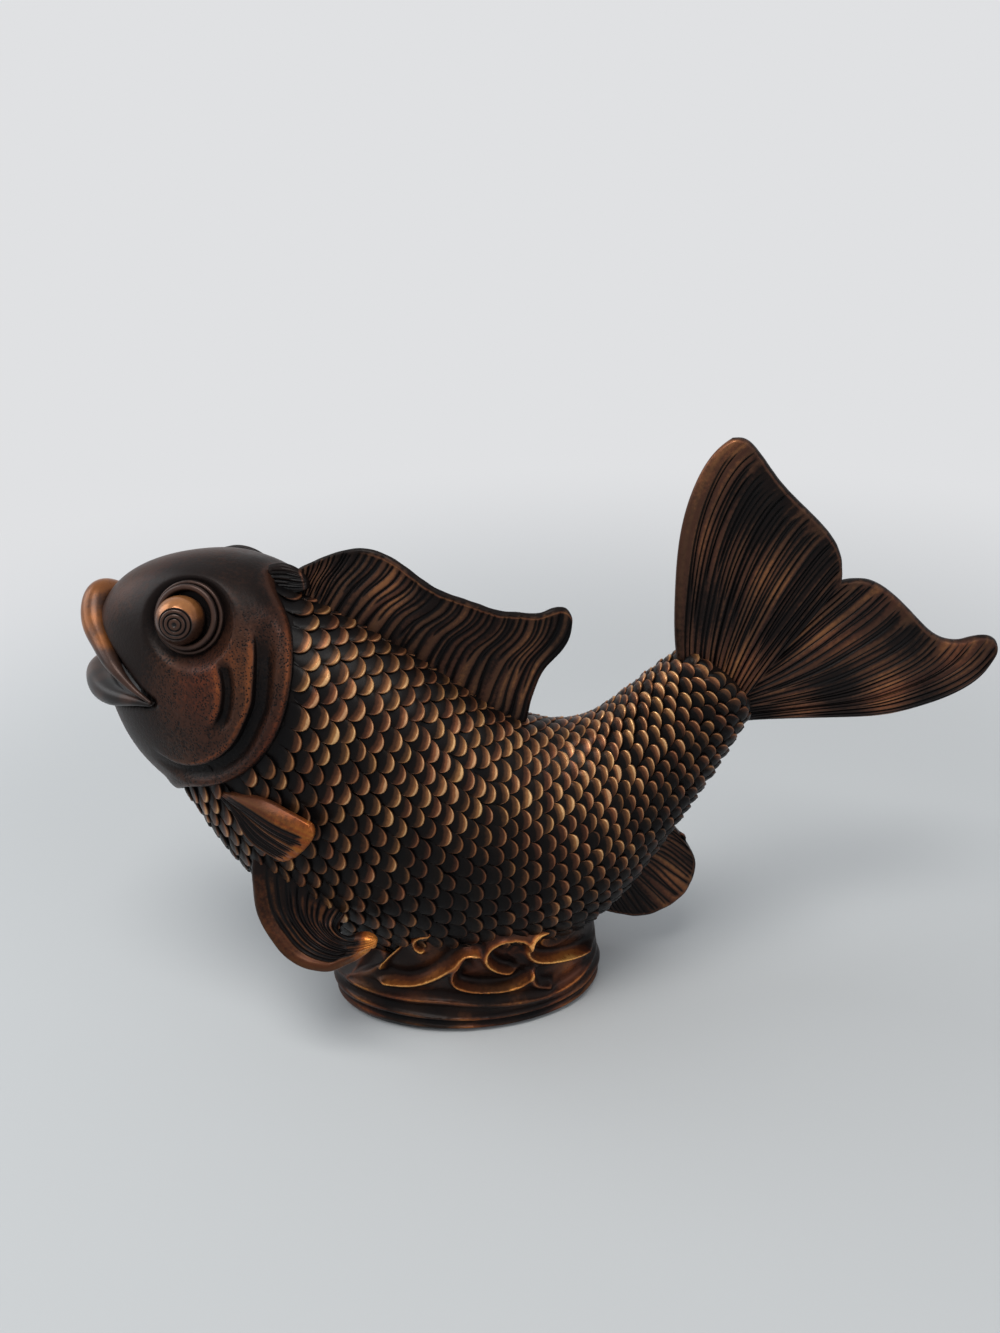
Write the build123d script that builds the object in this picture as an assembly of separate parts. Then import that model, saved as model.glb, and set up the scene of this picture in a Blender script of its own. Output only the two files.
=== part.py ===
from build123d import *
import math
import os

os.makedirs("parts", exist_ok=True)

# Bronze-finish carp riding a wave base
# The fish faces -X and its left flank faces -Y.
# The origin is the centre of the base's underside, +Z is up, lengths are millimetres.

# Sizes of the body casting
body_length = 240.0
body_height = 182.0
body_width = 73.0
head_sway = 23.0
tail_sway = 24.8
sway_reach = 205.0
section_power = 2.15
collar_setback = 4.5

# Joints between the castings
glue_gap = 0.15
cut_overrun = 60.0
spigot_radius = 15.0
spigot_length = 44.0
peg_radius = 7.0
peg_height = 14.0

# Rows of scales on the trunk
scale_height = 1.1
scale_rows = 13
scales_round = 16
first_scale_row = 3.4
scale_drop_share = 0.03

# Sizes of the head
gill_flare = 2.0
gill_groove_depth = 1.8
lip_radius = 5.4
mouth_height = 25.0
mouth_depth = 8.0
ring_radius = 10.2
ring_wire = 1.5
turret_radius = 13.2
turret_depth = 12.0
eye_radius = 8.2
pupil_radius = 5.0
pupil_step = 0.6

# Sizes of the fins
tail_height = 104.0
tail_reach = 122.0
tail_thickness = 6.0
dorsal_height = 40.0
dorsal_thickness = 4.6
dorsal_wave = 3.0
anal_reach = 44.0
anal_thickness = 4.2
rim_thickness = 1.4
ray_relief = 0.45
tail_ray_relief = 0.6
pectoral_length = 34.0
pectoral_width = 19.0
pectoral_thickness = 3.4
pelvic_length = 50.0
pelvic_thickness = 3.2
pelvic_cup = 7.0

# Sizes of the wave base
base_length = 106.0
base_width = 61.0
base_height = 48.0
crest_relief = 2.2

# Stations of the body: top x, top z, bottom x, bottom z, half width
station_shares = [
    (-0.482, 0.882, -0.492, 0.715, 0.25),
    (-0.460, 0.924, -0.479, 0.662, 0.41),
    (-0.417, 0.963, -0.460, 0.595, 0.57),
    (-0.345, 0.989, -0.424, 0.541, 0.74),
    (-0.258, 0.978, -0.380, 0.486, 0.87),
    (-0.183, 0.912, -0.348, 0.398, 0.95),
    (-0.104, 0.850, -0.290, 0.280, 0.99),
    (-0.008, 0.755, -0.170, 0.156, 1.00),
    (0.083, 0.650, 0.021, 0.093, 0.93),
    (0.167, 0.602, 0.200, 0.162, 0.77),
    (0.238, 0.624, 0.298, 0.295, 0.59),
    (0.296, 0.682, 0.377, 0.436, 0.46),
    (0.344, 0.727, 0.446, 0.580, 0.37),
]
head_station_count = 7
flare_shares = [0, 0, 0, 0.3, 0.8, 1, 1]
section_points = 14

# Rear edge of the gill covers on the median sheet: x, z
gill_edge_shares = [
    (-0.245, 1.000),
    (-0.213, 0.940),
    (-0.187, 0.885),
    (-0.180, 0.820),
    (-0.189, 0.753),
    (-0.225, 0.667),
    (-0.285, 0.609),
    (-0.345, 0.575),
    (-0.385, 0.520),
    (-0.405, 0.420),
]


def sheet_y(x):
    """Sideways bend of the median sheet: the head and the tail both swing to the far side."""
    share = x / sway_reach
    if x < 0:
        head_share = x / (body_length / 2)
        return head_sway * head_share ** 2
    return tail_sway * share ** 2 * 2 / (1 + share)


def on_sheet(x, z, side=0):
    """Point at x, z on the bent median sheet, moved along the sheet's normal by side."""
    normal = sheet_normal(x)
    return Vector(x, sheet_y(x), z) + normal * side


def sheet_normal(x):
    """Level direction across the fish at x, towards its right flank."""
    step = body_length / 1000
    slope = (sheet_y(x + step) - sheet_y(x - step)) / (2 * step)
    return Vector(-slope, 1, 0).normalized()


def body_place(x_share, z_share, side=0):
    """Point of the fish given by shares of its length and height."""
    return on_sheet(x_share * body_length, z_share * body_height, side)


def station_value(t, index):
    """One column of the station table at a fractional row number."""
    low = max(0, min(int(t), len(station_shares) - 2))
    part = t - low
    before = station_shares[max(low - 1, 0)][index]
    start = station_shares[low][index]
    end = station_shares[low + 1][index]
    after = station_shares[min(low + 2, len(station_shares) - 1)][index]
    first = (end - before) / 2
    last = (after - start) / 2
    return (
        start * (1 + 2 * part) * (1 - part) ** 2
        + first * part * (1 - part) ** 2
        + end * part ** 2 * (3 - 2 * part)
        + last * part ** 2 * (part - 1)
    )


def back_point(t):
    """Point of the back line at a fractional row of the station table."""
    return station_value(t, 0) * body_length, station_value(t, 1) * body_height


def belly_point(t):
    """Point of the belly line at a fractional row of the station table."""
    return station_value(t, 2) * body_length, station_value(t, 3) * body_height


def body_wire(row, grow, flare):
    """Closed cross section of the body: an ellipse with slightly flattened flanks."""
    top = body_place(row[0], row[1])
    bottom = body_place(row[2], row[3])
    centre = (top + bottom) / 2
    up = (top - bottom).normalized()
    across = sheet_normal(centre.X)
    half_height = (top - bottom).length / 2 + grow + flare / 4
    half_width = row[4] * body_width / 2 + grow + flare
    points = []
    for index in range(section_points):
        angle = 2 * math.pi * index / section_points
        rise = math.copysign(abs(math.cos(angle)) ** (2 / section_power), math.cos(angle))
        spread = math.copysign(abs(math.sin(angle)) ** (2 / section_power), math.sin(angle))
        points.append(centre + up * (rise * half_height) + across * (spread * half_width))
    return Wire([Spline(*points, periodic=True)])


def body_form(grow=0, flare=0, rows=len(station_shares)):
    """Bent and tapered body lofted through its stations."""
    wires = []
    for index, row in enumerate(station_shares[:rows]):
        share = flare_shares[min(index, head_station_count - 1)]
        wires.append(body_wire(row, grow, flare * share))
    return Solid.make_loft(wires)


def scale_ring(t, raised_corner):
    """Corners of a section through the scales, with every other corner raised, or all of them sunk."""
    top_x, top_z, bottom_x, bottom_z, width_share = [station_value(t, index) for index in range(5)]
    top = body_place(top_x, top_z)
    bottom = body_place(bottom_x, bottom_z)
    centre = (top + bottom) / 2
    up = (top - bottom).normalized()
    across = sheet_normal(centre.X)
    corners = []
    for index in range(2 * scales_round):
        sink = 0 if index % 2 == raised_corner else scale_height
        half_height = (top - bottom).length / 2 - sink
        half_width = width_share * body_width / 2 - sink
        angle = math.pi * index / scales_round
        rise = math.copysign(abs(math.cos(angle)) ** (2 / section_power), math.cos(angle))
        spread = math.copysign(abs(math.sin(angle)) ** (2 / section_power), math.sin(angle))
        corners.append(centre + up * (rise * half_height) + across * (spread * half_width))
    return corners


def scaled_form():
    """Body behind the head with rows of overlapping scales: each row rises to its rear edge and drops off."""
    row_step = (len(station_shares) - 1 - first_scale_row) / scale_rows
    rings = []
    for row in range(scale_rows):
        start = first_scale_row + row * row_step
        rings.append(scale_ring(start + scale_drop_share * row_step, None))
        rings.append(scale_ring(start + row_step, row % 2))
    faces = [Face(Wire.make_polygon(rings[0])), Face(Wire.make_polygon(rings[-1]))]
    for front, rear in zip(rings, rings[1:]):
        for index in range(len(front)):
            after = (index + 1) % len(front)
            faces.append(Face(Wire.make_polygon([front[index], front[after], rear[after]])))
            faces.append(Face(Wire.make_polygon([front[index], rear[after], rear[index]])))
    return Solid(Shell(faces))


collar_share = 0.97


def tail_collar():
    """Rounded end of the body that the tail's rays spring from."""
    row = station_shares[-1]
    top = body_place(row[0], row[1])
    bottom = body_place(row[2], row[3])
    chord = (top - bottom).normalized()
    across = sheet_normal(row[0] * body_length)
    inward = chord.cross(across)
    centre = (top + bottom) / 2 - inward * collar_setback
    plane = Plane(origin=centre, x_dir=chord, z_dir=across)
    half_height = (top - bottom).length / 2 * collar_share
    half_width = row[4] * body_width / 2 * collar_share
    profile = Face(Wire([
        Edge.make_ellipse(half_height, half_width, start_angle=0, end_angle=180),
        Line((-half_height, 0), (half_height, 0)),
    ]))
    return plane * Solid.revolve(profile, 360, Axis.X)


def side_prism(edges, x, depth):
    """Solid swept straight across the fish from a closed outline drawn on the XZ plane."""
    face = Face(Wire(edges))
    across = sheet_normal(x)
    return Solid.extrude(face.moved(Location(across * -depth)), across * (2 * depth))


def outline_point(x, z):
    """Corner of a side outline drawn on the XZ plane."""
    return Vector(x, 0, z)


def gill_prism(shift):
    """Everything in front of the gill edge, moved back by shift."""
    edge = [outline_point(x * body_length + shift, z * body_height) for x, z in gill_edge_shares]
    front_x = -body_length
    top = outline_point(edge[0].X, body_height + cut_overrun)
    bottom = outline_point(edge[-1].X, -cut_overrun)
    outline = [
        Spline(*edge),
        Line(edge[-1], bottom),
        Line(bottom, outline_point(front_x, -cut_overrun)),
        Line(outline_point(front_x, -cut_overrun), outline_point(front_x, body_height + cut_overrun)),
        Line(outline_point(front_x, body_height + cut_overrun), top),
        Line(top, edge[0]),
    ]
    return side_prism(outline, -body_length / 4, body_width)


# Axis of the spigot: seat in the trunk and a point it aims at in the head
spigot_seat_shares = (-0.17, 0.70)
spigot_aim_shares = (-0.45, 0.76)


def spigot(grow):
    """Round stub that carries the head, reaching forward out of the trunk."""
    seat = body_place(*spigot_seat_shares)
    aim = body_place(*spigot_aim_shares)
    plane = Plane(origin=seat, z_dir=aim - seat)
    stub = Cylinder(spigot_radius + grow, spigot_length + grow, align=(Align.CENTER, Align.CENTER, Align.MIN))
    return plane * stub


# Lips: x, side as a share of the body width, z, thickness
upper_lip_shares = [
    (-0.408, 0.275, 0.744, 0.30),
    (-0.450, 0.215, 0.800, 0.56),
    (-0.481, 0.125, 0.864, 0.84),
    (-0.493, 0.000, 0.896, 0.92),
]
lower_lip_shares = [
    (-0.408, 0.275, 0.732, 0.30),
    (-0.462, 0.215, 0.706, 0.62),
    (-0.503, 0.125, 0.702, 0.90),
    (-0.520, 0.000, 0.709, 1.00),
]


def lip(shares):
    """Rounded lip that is thick at the front and thins out towards both corners."""
    rows = [(x, -side, z, thick) for x, side, z, thick in shares]
    rows += reversed(shares[:-1])
    centres = [body_place(x, z, side * body_width) for x, side, z, thick in rows]
    level = (centres[len(shares) - 1] - centres[0]).cross(centres[-1] - centres[0])
    wires = []
    for index, row in enumerate(rows):
        before = centres[max(index - 1, 0)]
        after = centres[min(index + 1, len(rows) - 1)]
        plane = Plane(origin=centres[index], x_dir=level, z_dir=after - before)
        wires.append(plane * Wire([Edge.make_circle(lip_radius * row[3])]))
    return Solid.make_loft(wires)


# Place of an eye: length, height and side as shares of the fish, and how far its ring tips up and back
eye_place_shares = (-0.325, 0.912, 0.288)
eye_tip_up = 0.45
eye_tip_back = 0.03
eye_turn = 0.01
# Ball and pupil: shift forward and depth in eye radii, way the pupil looks, shrink of each pupil ring
eye_forward_share = 0.12
eye_depth_share = 0.42
pupil_look = (-0.22, -0.30, 1)
pupil_rings = 3
pupil_ring_share = 0.3
ring_mouth_share = 0.6


def eye_plane(side):
    """Plane of an eye ring: side is -1 on the left and 1 on the right."""
    x_share, z_share, side_share = eye_place_shares
    origin = body_place(x_share, z_share, side * body_width * side_share)
    across = sheet_normal(origin.X)
    outward = across * side + Vector(eye_tip_back, 0, eye_tip_up)
    return Plane(origin=origin, x_dir=Vector(1, 0, 0) + across * eye_turn, z_dir=outward)


def eye_centre():
    """Middle of the eyeball, seen from the middle of its ring."""
    return Vector(-eye_radius * eye_forward_share, 0, -eye_radius * eye_depth_share)


def eye_ball(grow):
    """Ball of an eye, about the middle of its ring."""
    return Location(eye_centre()) * Sphere(eye_radius + grow)


def eye(side):
    """Cast eye: a ball with stepped rings round the pupil."""
    solid = eye_ball(0)
    look = Plane(origin=eye_centre(), z_dir=pupil_look)
    for step in range(pupil_rings):
        radius = pupil_radius * (1 - pupil_ring_share * step)
        reach = math.sqrt(eye_radius ** 2 - radius ** 2) + pupil_step / 2
        solid = solid + look * Cylinder(radius, reach, align=(Align.CENTER, Align.CENTER, Align.MIN))
    return eye_plane(side) * solid


def eye_turret(side):
    """Raised rim round an eye."""
    mouth_radius = ring_radius + ring_wire * ring_mouth_share
    cone = Cone(turret_radius, mouth_radius, turret_depth, align=(Align.CENTER, Align.CENTER, Align.MAX))
    return eye_plane(side) * (cone + Torus(ring_radius, ring_wire))


def eye_socket(side):
    """Seat of an eyeball with a dark gap round it under the ring."""
    gap_depth = eye_radius * eye_depth_share
    gap = Cylinder(ring_radius - ring_wire * ring_mouth_share, 2 * gap_depth)
    return eye_plane(side) * (eye_ball(glue_gap) + gap)


# Crescent grooves of the gill covers: start, front middle, end, rear middle
long_groove_shares = [(-0.228, 0.885), (-0.222, 0.770), (-0.320, 0.655), (-0.200, 0.745)]
short_groove_shares = [(-0.275, 0.845), (-0.272, 0.780), (-0.312, 0.705), (-0.250, 0.770)]


def gill_groove(shares):
    """Crescent cut that stays shallow under the cheek's surface."""
    start, front, end, rear = [outline_point(x * body_length, z * body_height) for x, z in shares]
    edges = [ThreePointArc(start, front, end), ThreePointArc(end, rear, start)]
    floor = body_form(-gill_groove_depth, gill_flare, head_station_count + 1)
    return side_prism(edges, -body_length / 4, body_width) - floor


mouth_place_shares = (-0.500, 0.800)


def mouth_hollow():
    """Upright oval hollow between the lips."""
    half_height = mouth_height / 2
    profile = Face(Wire([
        Edge.make_ellipse(half_height, mouth_depth, start_angle=0, end_angle=180),
        Line((-half_height, 0), (half_height, 0)),
    ]))
    plane = Plane(origin=body_place(*mouth_place_shares), x_dir=(0, 0, 1), z_dir=(1, 0, 0))
    return plane * Solid.revolve(profile, 360, Axis.X)


def build_head():
    """Head casting with lips, mouth, eye rings and gill covers."""
    head = body_form(0, gill_flare, head_station_count + 1) & gill_prism(0)
    for side in (-1, 1):
        head = head + eye_turret(side)
    head = head + lip(upper_lip_shares)
    head = head + lip(lower_lip_shares)
    head = head - mouth_hollow()
    for side in (-1, 1):
        head = head - eye_socket(side)
    for shares in (long_groove_shares, short_groove_shares):
        head = head - gill_groove(shares)
    return head - dorsal_fin(glue_gap) - spigot(glue_gap)


wave_phase_share = 0.1


def fan_wire(start, end, side, thickness, rays, wave=0, bow=0, grow=0, relief=ray_relief):
    """Thin closed section across a fin's rays: pleated like the rays, or plain when grown into a slot."""
    chord = end - start
    along = chord.normalized()
    across = (side - along * side.dot(along)).normalized()
    count = 2 * rays
    near = []
    far = []
    for index in range(count + 1):
        share = index / count
        edge_share = (2 * share - 1) ** 4
        body = thickness / 2 * (1 - edge_share) + rim_thickness / 2 * edge_share
        ridge = relief * (1 - 2 * (index % 2)) if grow == 0 else -relief - grow
        swing = wave * math.sin(2 * math.pi * (share + wave_phase_share)) + bow * 4 * share * (1 - share)
        middle = start + chord * share + across * swing
        near.append(middle - across * (body - ridge))
        far.append(middle + across * (body - ridge))
    return Wire(Polyline(*near, *reversed(far), near[0]).edges())


def closed_outline(points):
    """Smooth closed outline with its sharp ends joined by a straight edge."""
    return [Spline(*points), Line(points[-1], points[0])]


# Dorsal fin: rows across the rays as start t, end t, start and end shares of the height
dorsal_start_row = 4.9
dorsal_end_row = 8.5
dorsal_rays = 11
dorsal_row_shares = [
    (-0.15, -0.10, 1.05, 1.00),
    (0.20, -0.09, 1.08, 0.90),
    (0.65, -0.02, 1.13, 0.62),
    (1.20, 0.06, 1.20, 0.36),
]
dorsal_outline_shares = [
    (0.030, -0.150), (-0.025, 0.082), (0.000, 0.310), (0.063, 0.500), (0.145, 0.640), (0.222, 0.700),
    (0.339, 0.690), (0.452, 0.675), (0.562, 0.745), (0.681, 0.793), (0.758, 0.842), (0.807, 0.984),
    (0.854, 1.091), (0.905, 1.052), (0.955, 0.798), (0.950, 0.514), (0.938, 0.249), (0.974, 0.064),
    (0.980, -0.150),
]


def dorsal_place(along_share, rise_share):
    """Point above the straight line between the ends of the dorsal fin's root."""
    start_x, start_z = back_point(dorsal_start_row)
    end_x, end_z = back_point(dorsal_end_row)
    along = outline_point(end_x - start_x, end_z - start_z)
    up = Vector(-along.Z, 0, along.X).normalized()
    return outline_point(start_x, start_z) + along * along_share + up * (rise_share * dorsal_height)


def lifted(point):
    """Outline point moved sideways onto the median sheet."""
    return on_sheet(point.X, point.Z)


def dorsal_fin(grow):
    """Waved ribbon of a dorsal fin with a flared rear tip."""
    wires = []
    for rise_share, start_share, end_share, thick_share in dorsal_row_shares:
        start = lifted(dorsal_place(start_share, rise_share))
        end = lifted(dorsal_place(end_share, rise_share))
        wave = dorsal_wave * max(rise_share, 0)
        thickness = dorsal_thickness * thick_share
        wires.append(fan_wire(start, end, sheet_normal(0), thickness, dorsal_rays, wave=wave, grow=grow))
    points = [dorsal_place(along, rise) for along, rise in dorsal_outline_shares]
    return Solid.make_loft(wires) & side_prism(closed_outline(points), 0, body_width)


# Tail fin: places from the middle of its root, as shares of its reach and height
tail_root_shares = (0.404, 0.648)
tail_rays = 10
upper_row_shares = [
    (-0.115, 0.058, 0.057, -0.115, 1.00),
    (-0.172, 0.308, 0.205, 0.058, 0.85),
    (-0.189, 0.644, 0.352, 0.231, 0.58),
    (-0.123, 1.000, 0.451, 0.519, 0.28),
]
upper_outline_shares = [
    (-0.106, 0.060), (-0.126, 0.180), (-0.130, 0.380), (-0.120, 0.560), (-0.078, 0.740), (-0.012, 0.848),
    (0.033, 0.877), (0.084, 0.835), (0.150, 0.731), (0.274, 0.577), (0.348, 0.445), (0.356, 0.345),
    (0.270, 0.215), (0.160, 0.070), (0.040, -0.110),
]
lower_row_shares = [
    (-0.050, 0.000, 0.082, -0.160, 0.95),
    (0.189, 0.288, 0.254, -0.221, 0.80),
    (0.516, 0.423, 0.533, -0.288, 0.55),
    (0.953, 0.231, 0.985, -0.192, 0.32),
]
lower_outline_shares = [
    (0.055, -0.140), (0.131, -0.140), (0.270, -0.158), (0.418, -0.180), (0.557, -0.192), (0.664, -0.176),
    (0.770, -0.144), (0.850, -0.085), (0.888, -0.010), (0.876, 0.048), (0.840, 0.072), (0.772, 0.066),
    (0.700, 0.086), (0.622, 0.166), (0.530, 0.277), (0.437, 0.344), (0.345, 0.352), (0.240, 0.260),
    (0.080, 0.060), (-0.020, -0.060),
]
lobe_step = 1.6


def tail_place(x_share, z_share):
    """Point of the tail on the XZ plane."""
    x = tail_root_shares[0] * body_length + x_share * tail_reach
    z = tail_root_shares[1] * body_height + z_share * tail_height
    return outline_point(x, z)


def tail_lobe(rows, outline, offset, grow):
    """One lobe of the tail: rays fan out from the root and the rim is cut to its outline."""
    wires = []
    middle = tail_place(0, 0)
    across = sheet_normal(middle.X)
    for start_x, start_z, end_x, end_z, thick_share in rows:
        start = lifted(tail_place(start_x, start_z)) + across * offset
        end = lifted(tail_place(end_x, end_z)) + across * offset
        thickness = tail_thickness * thick_share
        wires.append(fan_wire(start, end, across, thickness, tail_rays, grow=grow, relief=tail_ray_relief))
    points = [tail_place(x, z) for x, z in outline]
    return Solid.make_loft(wires) & side_prism(closed_outline(points), middle.X, body_width)


def tail_fin(grow):
    """Tail with its upper lobe lapped over its lower one."""
    upper = tail_lobe(upper_row_shares, upper_outline_shares, -lobe_step / 2, grow)
    lower = tail_lobe(lower_row_shares, lower_outline_shares, lobe_step / 2, grow)
    return upper + lower


# Anal fin: places from the middle of its root, as shares of its reach
anal_root_row = 9.75
anal_rays = 7
anal_row_shares = [
    (0.273, 0.455, -0.455, -0.227, 1.00),
    (0.545, 0.227, -0.364, -0.500, 0.80),
    (0.773, -0.136, -0.227, -0.818, 0.42),
]
anal_outline_shares = [
    (0.330, 0.450), (0.400, 0.250), (0.500, 0.090), (0.568, -0.114), (0.545, -0.260), (0.470, -0.420),
    (0.295, -0.550), (0.100, -0.600), (-0.136, -0.530), (-0.340, -0.440), (-0.400, -0.250),
]


def anal_place(x_share, z_share):
    """Point of the anal fin on the XZ plane."""
    x, z = belly_point(anal_root_row)
    return outline_point(x + x_share * anal_reach, z + z_share * anal_reach)


def anal_fin(grow):
    """Rounded fan under the tail root."""
    across = sheet_normal(belly_point(anal_root_row)[0])
    wires = []
    for start_x, start_z, end_x, end_z, thick_share in anal_row_shares:
        start = lifted(anal_place(start_x, start_z))
        end = lifted(anal_place(end_x, end_z))
        wires.append(fan_wire(start, end, across, anal_thickness * thick_share, anal_rays, grow=grow))
    points = [anal_place(x, z) for x, z in anal_outline_shares]
    return Solid.make_loft(wires) & side_prism(closed_outline(points), belly_point(anal_root_row)[0], body_width)


# Paired fins: upper x, z and lower x, z of each row, side as a share of half the body width, thickness
pectoral_rays = 5
pectoral_root_shares = (-0.284, 0.550)
pectoral_row_shares = [
    (-0.030, 0.260, 0.030, -0.260, 0.68, 1.00),
    (0.000, 0.310, 0.055, -0.170, 0.85, 1.00),
    (0.344, 0.495, 0.315, -0.505, 0.99, 1.00),
    (0.723, 0.205, 0.547, -0.847, 1.07, 0.90),
    (0.873, 0.021, 0.756, -0.742, 1.09, 0.80),
    (0.947, -0.163, 0.888, -0.479, 1.10, 0.55),
]
pelvic_rays = 6
pelvic_root_shares = (-0.212, 0.385)
pelvic_row_shares = [
    (-0.142, 0.319, 0.398, -0.281, 0.68, 1.00, 0.00),
    (-0.222, 0.279, 0.378, -0.361, 0.87, 1.00, 0.10),
    (-0.242, -0.181, 0.398, -0.401, 0.99, 0.90, 0.55),
    (-0.092, -0.401, 0.498, -0.411, 1.12, 0.80, 0.75),
    (0.198, -0.561, 0.578, -0.321, 1.22, 0.60, 0.35),
]


def pectoral_fin(side, grow):
    """Small folded leaf standing off the flank behind the gill cover."""
    root_x = pectoral_root_shares[0] * body_length
    root_z = pectoral_root_shares[1] * body_height
    wires = []
    for start_x, start_z, end_x, end_z, side_share, thick_share in pectoral_row_shares:
        reach = side * side_share * body_width / 2
        start = on_sheet(root_x + start_x * pectoral_length, root_z + start_z * pectoral_width, reach)
        end = on_sheet(root_x + end_x * pectoral_length, root_z + end_z * pectoral_width, reach)
        thickness = pectoral_thickness * thick_share
        wires.append(fan_wire(start, end, sheet_normal(root_x), thickness, pectoral_rays, grow=grow))
    return Solid.make_loft(wires)


def pelvic_fin(side, grow):
    """Cupped fin that hangs beside the belly and curls up at its tip."""
    root_x = pelvic_root_shares[0] * body_length
    root_z = pelvic_root_shares[1] * body_height
    wires = []
    for start_x, start_z, end_x, end_z, side_share, thick_share, cup_share in pelvic_row_shares:
        reach = side * side_share * body_width / 2
        start = on_sheet(root_x + start_x * pelvic_length, root_z + start_z * pelvic_length, reach)
        end = on_sheet(root_x + end_x * pelvic_length, root_z + end_z * pelvic_length, reach)
        bow = -side * pelvic_cup * cup_share
        thickness = pelvic_thickness * thick_share
        wires.append(fan_wire(start, end, sheet_normal(root_x), thickness, pelvic_rays, bow=bow, grow=grow))
    return Solid.make_loft(wires)


# Wave base: level rings as height, half length, half width
base_ring_shares = [
    (0.00, 0.955, 0.955), (0.05, 0.985, 0.985), (0.10, 0.965, 0.965), (0.17, 1.000, 1.000),
    (0.25, 0.975, 0.970), (0.50, 0.960, 0.980), (1.05, 0.890, 1.040),
]
wave_top_shares = [
    (-0.56, 0.16), (-0.44, 0.30), (-0.32, 0.52), (-0.18, 0.90), (-0.08, 1.00), (0.03, 0.92),
    (0.14, 0.95), (0.24, 0.92), (0.34, 0.88), (0.44, 0.72), (0.56, 0.66),
]
# Wave crests: outer start, outer middle, end, inner middle
crest_shares = [
    [(-0.30, 0.40), (-0.12, 0.56), (0.06, 0.80), (-0.06, 0.46)],
    [(-0.05, 0.62), (0.05, 0.36), (0.22, 0.54), (0.08, 0.28)],
    [(0.07, 0.68), (0.14, 0.77), (0.23, 0.67), (0.15, 0.69)],
    [(0.24, 0.80), (0.32, 0.62), (0.47, 0.70), (0.34, 0.52)],
    [(-0.44, 0.16), (-0.10, 0.25), (0.42, 0.34), (-0.06, 0.14)],
    [(-0.20, 0.70), (-0.17, 0.92), (-0.03, 0.96), (-0.13, 0.80)],
]


def base_form(grow):
    """Bulging oval mound with a rippled foot."""
    wires = []
    for height_share, length_share, width_share in base_ring_shares:
        ring = Edge.make_ellipse(length_share * base_length / 2 + grow, width_share * base_width / 2 + grow)
        wires.append(Wire([ring]).moved(Location((0, 0, height_share * base_height))))
    return Solid.make_loft(wires, ruled=True)


def base_outline_point(x_share, z_share):
    """Point of the waves on the XZ plane."""
    return outline_point(x_share * base_length, z_share * base_height)


def wave_crest(shares, side):
    """Raised crescent on the wall of the mound: side is -1 on the left and 1 on the right."""
    points = [base_outline_point(-side * x if side > 0 else x, z) for x, z in shares]
    start, outer, end, inner = points
    face = Face(Wire([ThreePointArc(start, outer, end), ThreePointArc(end, inner, start)]))
    prism = Solid.extrude(face, Vector(0, side * base_width, 0))
    return prism & base_form(crest_relief)


peg_foot_share = 0.2


def peg(grow):
    """Round peg that locates the fish on its base."""
    x = station_shares[8][2] * body_length
    belly_z = station_shares[8][3] * body_height
    foot = base_height * peg_foot_share
    length = belly_z - foot + peg_height + grow
    pin = Cylinder(peg_radius + grow, length, align=(Align.CENTER, Align.CENTER, Align.MIN))
    return Location((x, sheet_y(x), foot)) * pin


def build_base():
    """Wave base with the belly's cradle cut in its top."""
    edge = [base_outline_point(x, z) for x, z in wave_top_shares]
    high = base_height + cut_overrun
    outline = [
        Spline(*edge),
        Line(edge[-1], outline_point(edge[-1].X, high)),
        Line(outline_point(edge[-1].X, high), outline_point(edge[0].X, high)),
        Line(outline_point(edge[0].X, high), edge[0]),
    ]
    face = Face(Wire(outline)).moved(Location((0, -base_width, 0)))
    mound = base_form(0)
    for side in (-1, 1):
        for shares in crest_shares:
            mound = mound + wave_crest(shares, side)
    mound = mound - Solid.extrude(face, Vector(0, 2 * base_width, 0))
    mound = mound - body_form(glue_gap) - anal_fin(glue_gap)
    for side in (-1, 1):
        mound = mound - pelvic_fin(side, glue_gap)
    return mound + peg(0)


def build_trunk():
    """Trunk casting with its scales, the head's spigot, the fins' slots and the base's peg hole."""
    trunk = scaled_form() + tail_collar() - gill_prism(glue_gap) + spigot(0)
    trunk = trunk - dorsal_fin(glue_gap) - tail_fin(glue_gap) - anal_fin(glue_gap) - peg(glue_gap)
    for side in (-1, 1):
        trunk = trunk - pectoral_fin(side, glue_gap) - pelvic_fin(side, glue_gap)
    return trunk


nodes = {
    "trunk": build_trunk(),
    "head": build_head(),
    "left_eye": eye(-1),
    "right_eye": eye(1),
    "dorsal_fin": dorsal_fin(0),
    "tail_fin": tail_fin(0),
    "anal_fin": anal_fin(0),
    "left_pectoral_fin": pectoral_fin(-1, 0),
    "right_pectoral_fin": pectoral_fin(1, 0),
    "left_pelvic_fin": pelvic_fin(-1, 0),
    "right_pelvic_fin": pelvic_fin(1, 0),
    "wave_base": build_base(),
}
for name, solid in nodes.items():
    export_step(solid, f"parts/{name}.step")
    print(name, round(solid.volume), len(solid.solids()))
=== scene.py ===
import math
import bpy
import numpy as np
from mathutils import Matrix, Vector


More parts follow.
